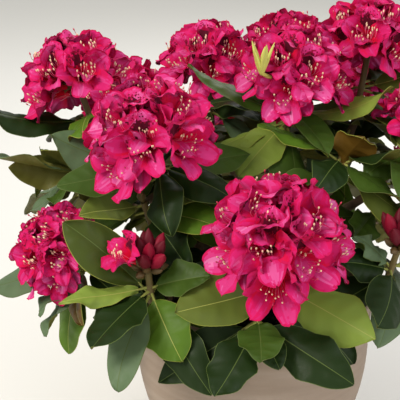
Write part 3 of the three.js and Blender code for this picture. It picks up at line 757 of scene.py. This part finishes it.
def lobe_middle(depth, reach, lobe, opening, manner):
    """The midline of a lobe from the foot of the funnel, as places and tilts from the flower's axis."""
    profile = [
        (FLORET_FOOT * reach, 0.1 * lobe),
        (0.6 * reach, 0.16 * lobe),
        (0.8 * reach, 0.5 * lobe * opening),
        (0.93 * reach, lobe * opening),
    ]
    steps = np.diff(bezier(profile, depth), axis=0)
    halfway = (depth[1:] + depth[:-1]) / 2
    free = np.clip((halfway - MOUTH) / (1 - MOUTH), 0, 1)
    tilt = np.arctan2(steps[:, 1], steps[:, 0])
    tilt += np.radians(manner.lean * np.clip(free * 4, 0, 1) + manner.curl * free ** 2)
    size = np.linalg.norm(steps, axis=1) * np.where(free > 0, manner.length, 1)
    forward = profile[0][0] + np.append(0, np.cumsum(size * np.cos(tilt)))
    radius = profile[0][1] + np.append(0, np.cumsum(size * np.sin(tilt)))
    return forward[:, None], radius[:, None], np.interp(depth, halfway, tilt)[:, None]


# Waves of a lobe's margin: their height, how many turn about its middle, and how fast they fade inward
FRILLS = [((1.6, 3.6), (1.5, 3.1), 2), ((1.1, 2.2), (4.2, 6.6), 2.4), ((0.4, 0.9), (9, 12), 3.4)]


def frills(across, outline, free, random):
    """Height of a lobe's waves: they run round its middle and grow towards its margin."""
    outer = np.clip((free - LOBE_WIDEST) / (1 - LOBE_WIDEST), -1, 1)
    sideways = across * outline
    margin = np.clip(np.hypot(sideways, np.maximum(outer, 0)), 0, 1)
    turn = np.arctan2(sideways, outer + 0.2)
    ridges = 2 * pi * (2.3 * across + random.random() + random.uniform(-0.6, 0.6) * free)
    height = 0.6 * np.cos(ridges) * np.sqrt(free) * (1.2 - free)
    height -= 1.5 * np.exp(-((across / 0.16) ** 2)) * np.sin(pi * free)
    for heights, counts, power in FRILLS:
        wave = np.sin(random.uniform(*counts) * turn + 6.28 * random.random())
        height += random.uniform(*heights) * margin ** power * wave
    return height, margin


def corolla(skin, hub, axis, dorsal, reach, lobe, seed, opening=1.0, grids=FINE_GRIDS):
    """An open trumpet: five frilled lobes that come free of one funnel and overlap at their sides."""
    random = np.random.default_rng(seed)
    sideways = np.cross(axis, dorsal)
    fading = random.uniform(-0.5, 0.6)
    for k in range(LOBES):
        rows, columns = grids[min(k, 1)]
        manner = lobe_manner(k, random)
        depth = 0.995 * (1 - (1 - np.linspace(0, 1, rows + 1)) ** 1.3)
        across = np.linspace(-1, 1, columns + 1)[None, :]
        forward, radius, tilt = lobe_middle(depth, reach, lobe, opening, manner)
        free = np.clip((depth - MOUTH) / (1 - MOUTH), 0, 1)[:, None]
        mouth = np.interp(MOUTH, depth, radius[:, 0])
        half = LOBE_WIDTH * lobe * manner.width
        outline = lobe_width(free, mouth * sin(radians(HALF_TURN)) / half)
        wander = 1.5 * free + 0.23 * np.sign(across) + random.random()
        outline = outline * (1 + 0.08 * free * np.sin(2 * pi * wander))
        angle = np.radians(HALF_TURN * across)
        aside = np.where(free > 0, half * outline * across, radius * np.sin(angle))
        inset = np.where(free > 0, mouth * (1 - free) ** 2, radius) * (1 - np.cos(angle))
        joined = np.clip(free / 0.22, 0, 1)
        height, margin = frills(across, outline, free, random)
        height = joined * (height + manner.cup * half * across ** 2 + 1.5 * across * (1 - 0.5 * free))
        notch = manner.notch * np.exp(-((across / 0.4) ** 2)) * free ** 5
        aside = aside + manner.skew * free ** 2
        forward = forward + height * np.sin(tilt) - notch * np.cos(tilt)
        radius = radius - inset - height * np.cos(tilt) - notch * np.sin(tilt)
        turn = radians(LOBE_TURN * k)
        outward = dorsal * cos(turn) + sideways * sin(turn)
        crosswise = sideways * cos(turn) - dorsal * sin(turn)
        points = hub + axis * forward[..., None] + outward * radius[..., None] + crosswise * aside[..., None]
        points[..., 2] -= manner.hang * free ** 2
        skin.grid(points, petal_looks(k, depth[:, None], across, free, margin, fading, random))


def petal_looks(k, depth, across, free, margin, fading, random):
    """The material of each face of a lobe: red in the funnel, pinker outward, speckled on top."""
    middle = [np.broadcast_to(field, margin.shape) for field in (depth, across, free, margin)]
    depth, across, free, margin = [(field[1:, 1:] + field[:-1, :-1]) / 2 for field in middle]
    # Painted light: the deep reds low in the funnel stand for light shining through the petals, made bright
    # against the funnel's shade, and the rise to paler pinks outward and along a lobe's middle is mostly
    # painted highlight
    level = 1.8 * np.clip(depth / MOUTH, 0, 1) + 4.6 * free ** 0.8 + 1.3 * fading + random.uniform(-0.8, 0.8)
    level += random.normal(0, 0.45, (1, depth.shape[1])) + random.normal(0, 0.14, depth.shape)
    level += (1 if k in (0, 1, 4) else 2.6) * np.exp(-((across / 0.55) ** 2)) * np.sin(pi * free ** 0.7)
    looks = np.clip(level, 0, petal_look("palest")).astype(int)
    # The rim is a darker magenta margin: painted shade that the curled margins cast
    rim = margin + random.normal(0, 0.03, depth.shape) > 0.9
    looks = np.where(rim & (free > 0.3), petal_look("rim"), looks)
    if k == 0:
        away = ((free - 0.34) / 0.28) ** 2 + (across / 0.56) ** 2
        chance = random.random(depth.shape) * (1 + 0.25 * np.cos(2 * pi * 4.5 * across))
        looks = np.where(chance < 1.9 * np.exp(-0.9 * away), petal_look("maroon"), looks)
        looks = np.where(chance < 2.2 * np.exp(-1.8 * away), petal_look("blotch"), looks)
    return looks


STAMENS = 10
STAMEN_SPREAD = 78

# Numbers of the threads' materials
FILAMENT, ANTHER, STYLE = range(3)


def stamens(skin, hub, axis, dorsal, reach, lobe, seed):
    """Filaments that lie along the lower lobes and curve up to pale anthers, and one longer style."""
    random = np.random.default_rng(seed)
    sideways = np.cross(axis, dorsal)
    shares = np.linspace(0, 1, 6)
    for k in range(STAMENS + 1):
        is_style = k == STAMENS
        spread = 0 if is_style else lerp(-STAMEN_SPREAD, STAMEN_SPREAD, (k + random.random()) / STAMENS)
        angle = radians(180 + spread)
        ring = dorsal * cos(angle) + sideways * sin(angle)
        out = lobe * random.uniform(0.26, 0.5)
        end = reach * (1.02 if is_style else random.uniform(0.8, 0.96))
        path = bezier([
            hub + axis * reach * 0.36 + ring * 1.5,
            hub + axis * reach * 0.62 + ring * out * 0.7,
            hub + axis * end * 0.92 + ring * out * 1.2,
            hub + axis * end + ring * out + dorsal * 4.5,
        ], shares)
        look = STYLE if is_style else FILAMENT
        tube(skin, path, np.linspace(0.45, 0.34, 6), 3, look, aside=sideways)
        way = unit(path[-1] - path[-2])
        anther = path[-1] + way * np.array([[-0.3], [0.5], [1.9], [2.8]])
        size = np.array([0.35, 0.9, 0.8, 0.3]) * (1.0 if is_style else 1.1)
        look = STYLE if is_style else ANTHER
        tube(skin, anther, size, 5, look, pointed=True)


def dome_directions(axis, count, edge, spin):
    """Directions over a dome about an axis, evenly spread by the golden angle."""
    first, second = frame_along(axis)
    ways = []
    for k in range(count):
        polar = acos(1 - ((k + 0.5) / count) * (1 - cos(radians(edge))))
        turn = radians(GOLDEN_ANGLE * k + spin)
        level = first * cos(turn) + second * sin(turn)
        ways.append(axis * cos(polar) + level * sin(polar))
    return ways


# Inner florets stand deeper and smaller in the gaps between the outer ones
INNER_FLORETS = 8
INNER_EDGE = 84
INNER_TURN = 66
INNER_SIZE = 0.86
FACE_LIFT = 0.5
STALK_SHARES = np.linspace(0, 1, 4)
STALK_RADII = [1.4, 1.3, 1.4, 2.4]


def truss_florets(shoot):
    """The ways of a truss's florets from its middle, each with a share of the truss's size."""
    spin = TRUSS_START + shoot.number * TRUSS_TURN
    outer = dome_directions(shoot.axis, FLORETS, DOME_EDGE, spin)
    inner = dome_directions(shoot.axis, INNER_FLORETS, INNER_EDGE, spin + INNER_TURN)
    return [(way, 1.0) for way in outer] + [(way, INNER_SIZE) for way in inner]


def bud_ways(shoot):
    return dome_directions(shoot.axis, BUDS, BUD_SPREAD, shoot.number * TRUSS_TURN)


def facing(hub, way, reach):
    """The way that a floret faces, lifted towards level where it hangs, and the foot of its axis."""
    lift = FACE_LIFT * min(max(0.25 - way[2], 0), 1)
    face = unit(way + UP * lift)
    return face, hub + (way - face) * FLORET_MIDDLE * reach


def grow_floret(petals, threads, hub, way, top, diameter, seed, opening=1.0, grids=FINE_GRIDS):
    """A floret that suits a truss of a given diameter, its dorsal lobe towards the top."""
    reach = diameter * FLORET_REACH
    lobe = diameter * LOBE_RADIUS * LOBE_SPREAD
    face, foot = facing(hub, way, reach)
    dorsal = top - face * (top @ face)
    dorsal = unit(dorsal) if dorsal @ dorsal > 1e-4 else frame_along(face)[0]
    corolla(petals, foot, face, dorsal, reach, lobe, seed, opening, grids)
    stamens(threads, foot, face, dorsal, reach, lobe, seed)


def grow_stalks(skin, shoot):
    """The stalk of a truss or of buds, with a short thin stalk to each flower."""
    head = shoot.head
    tube(skin, lerp(shoot.whorl, head, np.linspace(0, 1, 5)[:, None]), STEM_RADIUS, 8)
    if shoot.truss:
        for way, size in truss_florets(shoot):
            reach = shoot.truss * size * FLORET_REACH
            face, foot = facing(head, way, reach)
            end = foot + face * reach * (FLORET_FOOT + 0.02)
            tube(skin, bezier([head, head + way * reach * 0.2, end], STALK_SHARES), STALK_RADII, 6)
    else:
        for way in bud_ways(shoot):
            tube(skin, head + way * (STALK_SHARES * 4)[:, None], STALK_RADII, 6)


SPINDLE_SHARES = np.linspace(0.02, 0.985, 9)[:, None]
BUD_SIDES = 15


def grow_bud(skin, root, way, length, radius, look, twist=1.2):
    """A closed bud: a ridged spindle whose furled lobes turn about it."""
    turns, _ = around(BUD_SIDES)
    radii = radius * np.sin(pi * SPINDLE_SHARES ** 1.25) ** 0.8
    relief = 0.1 * radii * np.cos(5 * (turns + twist * SPINDLE_SHARES))
    path = root + way * length * SPINDLE_SHARES
    tube(skin, path, radii[:, 0], BUD_SIDES, look, relief=relief, pointed=True)


# Materials

SHEEN_SHADE = (255, 170, 214)


def set_sockets(node, **values):
    """Sets a node's inputs, or links them to an output, by their names with _ for a space."""
    for name, value in values.items():
        socket = node.inputs[name.replace("_", " ")]
        if isinstance(value, bpy.types.NodeSocket):
            node.id_data.links.new(value, socket)
        else:
            socket.default_value = value
    return node


def new_node(made, kind, output, **values):
    """An output of a new node in a material."""
    return set_sockets(made.node_tree.nodes.new(f"ShaderNode{kind}"), **values).outputs[output]


def material(name, shade, roughness, grain=900, bump=0.12, depth=0.3, specular=0.5, sheen=0):
    """A plain base colour, with grain in the roughness and the relief."""
    made = bpy.data.materials.new(name)
    made.use_nodes = True
    ends = dict(From_Min=0.3, From_Max=0.7, To_Min=roughness[0], To_Max=roughness[1])
    place = new_node(made, "TexCoord", "Object")
    noise = new_node(made, "TexNoise", "Fac", Vector=place, Scale=grain, Detail=3)
    set_sockets(
        made.node_tree.nodes["Principled BSDF"],
        Base_Color=linear(shade),
        Specular_IOR_Level=specular,
        Sheen_Weight=sheen,
        Sheen_Tint=linear(SHEEN_SHADE),
        Roughness=new_node(made, "MapRange", "Result", Value=noise, **ends),
        Normal=new_node(made, "Bump", "Normal", Height=noise, Strength=bump, Distance=depth * MM),
    )
    return made


def mottled(made, shades, scale, stretch=(1, 1, 1)):
    """Gives a material a base colour that wanders between shades."""
    place = new_node(made, "TexCoord", "Object")
    stretched = new_node(made, "Mapping", "Vector", Vector=place, Scale=stretch)
    noise = new_node(made, "TexNoise", "Fac", Vector=stretched, Scale=scale, Detail=6)
    colour = new_node(made, "ValToRGB", "Color", Fac=noise)
    elements = colour.node.color_ramp.elements
    while len(elements) < len(shades):
        elements.new(0.5)
    for k, shade in enumerate(shades):
        elements[k].position = 0.3 + 0.4 * k / (len(shades) - 1)
        elements[k].color = linear(shade)
    set_sockets(made.node_tree.nodes["Principled BSDF"], Base_Color=colour)
    return made


leaf_materials = [
    material(f"leaf_{look}", shade, (0.42, 0.56), grain=700, bump=0.1, specular=0.18)
    for look, shade in LEAF_SHADES.items()
]
petal_materials = [
    material(f"petal_{look}", shade, (0.6, 0.75), grain=1100, specular=0.1, sheen=0.1)
    for look, shade in PETAL_SHADES.items()
]
thread_materials = [
    material("filament", (234, 116, 152), (0.4, 0.5)),
    material("anther", (240, 206, 172), (0.6, 0.7)),
    material("style", (196, 60, 84), (0.35, 0.45)),
]
bud_materials = [
    material("bud_dark", (96, 6, 28), (0.5, 0.65), specular=0.25),
    material("bud_red", (136, 8, 42), (0.5, 0.65), specular=0.25),
    material("bud_scale", (92, 70, 36), (0.5, 0.65)),
]
stalk_materials = [material("green_stalk", (112, 96, 54), (0.5, 0.65), grain=600, bump=0.3)]
sprout_materials = [material("sprout", (196, 196, 96), (0.4, 0.5), grain=700)]
bark = mottled(
    material("bark", (107, 84, 64), (0.8, 0.95), grain=500, bump=0.6, depth=0.6),
    [(66, 50, 38), (110, 88, 68), (142, 122, 98)], scale=70, stretch=(1, 1, 0.35),
)
compost = mottled(
    material("compost", (58, 42, 32), (0.9, 1.0), grain=700, bump=0.8, depth=0.8),
    [(34, 25, 19), (58, 43, 33), (88, 68, 52)], scale=160,
)
pottery = mottled(
    material("pottery", (163, 144, 128), (0.78, 0.92), grain=420, bump=0.22, depth=0.4),
    [(148, 130, 114), (156, 138, 122), (164, 147, 132)], scale=34, stretch=(0.25, 0.25, 2.2),
)


# Pot and compost

POT_SIDES = 160
CRUMBS = 900


def pot_radius(height):
    """Radius of the pot's outside: a bowl that steepens to its belly, then a slight flare."""
    below = 1 - np.minimum(height, BELLY_HEIGHT) / BELLY_HEIGHT
    bowl = lerp(FOOT_RADIUS, BELLY_RADIUS, 1 - below ** 2)
    flare = np.clip((height - BELLY_HEIGHT) / (POT_HEIGHT - BELLY_HEIGHT), 0, 1)
    return bowl + (RIM_RADIUS - BELLY_RADIUS) * flare ** 1.4


def dress_pot():
    """A turned form, whose profile is a row of radii and heights."""
    lip = POT_WALL / 2
    profile = [(0.5, 0.0), (FOOT_RADIUS - 3, 0.0)]
    for turn in np.radians([-60, -30, 0]):
        profile.append((FOOT_RADIUS - 3 + 3 * cos(turn), 3 + 3 * sin(turn)))
    for height in np.linspace(5, POT_HEIGHT - lip, 60):
        band = 0.22 * sin(height * 0.95) * sin(height * 0.13 + 1)
        profile.append((pot_radius(height) - 0.25 + band, height))
    for turn in np.radians(np.linspace(15, 165, 9)):
        profile.append((RIM_RADIUS - lip + lip * cos(turn), POT_HEIGHT - lip + lip * sin(turn)))
    for height in np.linspace(POT_HEIGHT - lip, POT_FLOOR, 24):
        profile.append((pot_radius(height) - POT_WALL, height))
    profile.append((0.5, POT_FLOOR))
    radius, height = np.array(profile, float).T[..., None, None]
    skin = Skin()
    skin.grid(radius * around(POT_SIDES)[1] + height * UP, closed=True)
    dress("stoneware_pot", skin, [pottery], "pottery", "pot")


def dress_compost():
    skin = Skin()
    rim = pot_radius(SOIL_HEIGHT) - POT_WALL - 0.3
    flat = np.linspace(1, rim, 40)[:, None, None] * around(120)[1] + UP * (SOIL_HEIGHT - 2.5)
    flat[..., 2] += 1.6 * waves(flat, 26, 5) + 0.8 * waves(flat, 9, 6)
    skin.grid(flat, closed=True)
    random = np.random.default_rng(77)
    for _ in range(CRUMBS):
        spread = rim * sqrt(random.random()) * 0.97
        middle = aim(degrees(random.uniform(0, 6.28)), 0) * spread + UP * (SOIL_HEIGHT - 2)
        way = unit(random.normal(size=3) * (1, 1, 0.4))
        size = random.uniform(1.0, 3.2)
        path = middle + way * np.array([[-1.0], [-0.5], [0.5], [1.0]]) * size
        radius = np.array([0.25, 1, 0.9, 0.2]) * size * random.uniform(0.35, 0.7)
        tube(skin, path, radius, 5)
    dress("crumbly_compost", skin, [compost], "compost", "compost")


# Wood


def dress_trunk():
    skin = Skin()
    share = np.linspace(-0.06, 1.08, 48)[:, None]
    turns, level = around(64)
    height = lerp(SOIL_HEIGHT, TRUNK_TOP[2], share)
    ridge = 0.9 + 0.35 * np.cos(5 * turns)
    flare = ROOT_FLARE * ridge * np.exp(-np.maximum(height - SOIL_HEIGHT, 0) / FLARE_FADE)
    rounding = np.sqrt(np.clip(1 - (np.maximum(share - 1, 0) / 0.085) ** 2, 0.05, 1))
    radius = (TRUNK_RADIUS - TRUNK_TAPER * np.clip(share, 0, 1) + flare) * rounding
    middle = share[..., None] * TRUNK_TOP * (1, 1, 0) + height[..., None] * UP
    place = middle + radius[..., None] * level
    fissures = waves(place * (1, 1, 0.22), 7, 3) + 0.6 * waves(place * (1, 1, 0.4), 3.6, 4)
    place = place + level * (0.75 * fissures - 0.3)[..., None]
    skin.grid(place, closed=True)
    skin.fan(place[-1], place[-1].mean(axis=0), closed=True)
    dress("trunk_bark", skin, [bark], "bark", "trunk")


BOUGH_SIDES = 14


def dress_boughs():
    """Boughs with an uneven bark and the scars of fallen leaves round them."""
    skin = Skin()
    share = np.linspace(0, 1, 44)
    for shoot in SHOOTS:
        path, _ = along_curve(shoot.curve, share)
        radius = lerp(shoot.radius, TWIG_RADIUS, share ** 0.8)
        sample = path[:, None] + radius[:, None, None] * around(BOUGH_SIDES)[1]
        scars = np.exp(-((np.mod(share * 9 + 0.3 * shoot.number, 1) - 0.5) / 0.08) ** 2)[:, None] * 0.5
        relief = 0.42 * waves(sample, 6, 20 + shoot.number) + scars - 0.1
        aside = unit(np.cross(path[-1] - path[0], (0.3, -0.2, 1.0)))
        tube(skin, path, radius, BOUGH_SIDES, aside=aside, relief=relief)
    dress("bough_bark", skin, [bark], "bark", *[f"bough_{shoot.name}" for shoot in SHOOTS])


def dress_stalks():
    """Green stems, truss stalks and flower stalks."""
    skin = Skin()
    for shoot in SHOOTS:
        rise = np.linspace(-STEM_BELOW_WHORL - 2, STEM_ABOVE_WHORL, 12)
        path = shoot.whorl + shoot.axis * rise[:, None]
        relief = 0.35 * waves(path, 5, 60 + shoot.number)[:, None]
        tube(skin, path, np.linspace(TWIG_RADIUS, STEM_RADIUS, 12), 10, relief=relief)
        if shoot.truss or shoot.buds:
            grow_stalks(skin, shoot)
            continue
        root = shoot.whorl + shoot.axis * STEM_ABOVE_WHORL * 0.8
        grow_bud(skin, root, shoot.axis, 17, 4.6, 0, twist=0.4)
    dress("green_stalks", skin, stalk_materials, "foliage")


# Blossom and leaves

# No furled bud stands this near, in degrees, to the way of a flower that is open
OPEN_CLEARANCE = 26
BUD_SCALES = 12
SCALE_SPREAD = 100
SCALE_TURN = 31


def dress_flowers(name, petals, threads, *nodes):
    dress(f"petals_{name}", petals, petal_materials, "blossom", *nodes)
    dress(f"stamens_{name}", threads, thread_materials, "blossom")


def dress_trusses():
    """Trusses, whose florets face out from their middle."""
    for shoot in SHOOTS:
        if not shoot.truss:
            continue
        petals, threads = Skin(), Skin()
        for k, (way, size) in enumerate(truss_florets(shoot)):
            grow_floret(petals, threads, shoot.head, way, shoot.axis, shoot.truss * size,
                        100 * shoot.number + k, grids=FINE_GRIDS if size == 1 else COARSE_GRIDS)
        dress_flowers(shoot.name, petals, threads, f"truss_{shoot.name}")


def dress_buds():
    for shoot in SHOOTS:
        if not shoot.buds:
            continue
        skin = Skin()
        open_way = aim(*shoot.open[:2]) if shoot.open else -shoot.axis
        for k, way in enumerate(bud_ways(shoot)):
            if way @ open_way > cos(radians(OPEN_CLEARANCE)):
                continue
            length = BUD_LENGTH * (0.88 + 0.05 * (k % 3))
            grow_bud(skin, shoot.head + way * FLORET_ROOT, way, length, BUD_RADIUS, k % 2)
        for k, way in enumerate(dome_directions(shoot.axis, BUD_SCALES, SCALE_SPREAD, SCALE_TURN)):
            lean = unit(way + 0.2 * shoot.axis)
            grow_bud(skin, shoot.head + way, lean, 17 + 2 * (k % 3), 4.2, 2, twist=0.2)
        dress(f"buds_{shoot.name}_furled", skin, bud_materials, "bud", f"buds_{shoot.name}")


def dress_half_open():
    """A flower of the left bud cluster that opens ahead of the others."""
    petals, threads = Skin(), Skin()
    shoot = next(shoot for shoot in SHOOTS if shoot.open)
    heading, pitch, diameter = shoot.open
    grow_floret(petals, threads, shoot.head, aim(heading, pitch), UP, diameter, 995, opening=0.9)
    dress_flowers("half_open", petals, threads)


def dress_sprout():
    """A thin stem out of the centre truss, with narrow upright leaves at its end."""
    skin = Skin()
    top = np.array(SPIKE_TOP, float)
    path = bezier([SHOOTS[0].head, SPIKE_KNEE, top], np.linspace(0, 1, 12))
    tube(skin, path, np.linspace(2.4, 2.0, 12), 8)
    turns, _ = around(12)
    half = SPIKE_LEAF_RADIUS * np.sin(pi * SPINDLE_SHARES ** 0.9) ** 0.7
    flat = -0.35 * half * (1 - np.cos(2 * turns))
    for k in range(SPIKE_LEAVES):
        heading = 360 / SPIKE_LEAVES * k
        out = aim(heading, 0)
        length = SPIKE_LEAF * (1 if k % 2 == 0 else 0.8)
        curve = top + out * (1.2 + 3 * SPINDLE_SHARES ** 2) - UP * 2
        curve = curve + aim(heading, SPIKE_LEAF_PITCH) * length * SPINDLE_SHARES
        tube(skin, curve, half[:, 0] * 0.95, 12, aside=out, relief=flat, pointed=True)
    dress("young_sprout", skin, sprout_materials, "foliage")


def dress_foliage():
    """The leaves of each shoot, with older leaves where they have room."""
    leaves = {}
    taken = [np.zeros((1, 3))]
    for shoot in SHOOTS:
        random = seeded(3000 + shoot.number)
        leaves[shoot.name] = [draw_traits(leaf, LEAF_TRAITS, random) for leaf in solid_leaves(shoot)]
        taken += [leaf_samples(leaf) for leaf in leaves[shoot.name]]
    taken = np.concatenate(taken)
    for shoot in SHOOTS:
        random = seeded(4000 + shoot.number)
        older, taken = older_leaves(shoot, taken)
        leaves[shoot.name] += [draw_traits(leaf, LEAF_TRAITS, random) for leaf in older]
    for name, grown in leaves.items():
        skin = Skin()
        for leaf in grown:
            grow_leaf(skin, leaf)
        dress(f"foliage_{name}", skin, leaf_materials, "foliage", f"leaves_{name}")


dress_pot()
dress_compost()
dress_trunk()
dress_boughs()
dress_stalks()
dress_trusses()
dress_buds()
dress_half_open()
dress_sprout()
dress_foliage()


# Stage, light and camera

FLOOR_RADIUS = 40000
CAMERA_TARGET = Vector((-60, 0, 315))
CAMERA_DISTANCE = 1230
CAMERA_ELEVATION = 20
CAMERA_LENS = 100
FILM_WIDTH = 36


def lay_floor():
    skin = Skin()
    skin.fan(around(64)[1] * FLOOR_RADIUS, np.zeros(3), closed=True)
    mesh = skin.mesh("floor")
    mesh.materials.append(material("pale_floor", (226, 224, 219), (0.85, 0.95), grain=60, bump=0.02))
    new_object("floor", mesh)


def hang_softbox(name, place, size, power, shade=(255, 255, 255)):
    """A round soft light that is turned to the middle of the plant."""
    light = bpy.data.lights.new(name, "AREA")
    light.shape = "DISK"
    light.size = size * MM
    light.energy = power
    light.color = linear(shade)[:3]
    lamp = new_object(name, light)
    lamp.location = Vector(place) * MM
    lamp.rotation_euler = (Vector((0, 0, 300)) - Vector(place)).to_track_quat("-Z", "Y").to_euler()


def light_the_stage():
    hang_softbox("key", (-1450, -1050, 1850), 1000, 41, (255, 250, 240))
    hang_softbox("fill", (1700, -1500, 1100), 1500, 17, (246, 248, 255))
    hang_softbox("back", (600, 1700, 1800), 1200, 26)
    world = bpy.data.worlds.new("studio")
    world.use_nodes = True
    set_sockets(world.node_tree.nodes["Background"], Color=(0.92, 0.92, 0.89, 1), Strength=0.7)
    bpy.context.scene.world = world
    bpy.context.scene.view_settings.view_transform = "Standard"


def place_camera():
    """The photograph's view: a little above the plant, from the front."""
    camera = bpy.data.cameras.new("camera")
    camera.lens = CAMERA_LENS
    camera.sensor_width = FILM_WIDTH
    holder = new_object("camera", camera)
    rise = radians(CAMERA_ELEVATION)
    back = Vector((0, -cos(rise), sin(rise)))
    holder.location = (CAMERA_TARGET + back * CAMERA_DISTANCE) * MM
    holder.rotation_euler = (-back).to_track_quat("-Z", "Y").to_euler()
    bpy.context.scene.camera = holder


lay_floor()
light_the_stage()
place_camera()
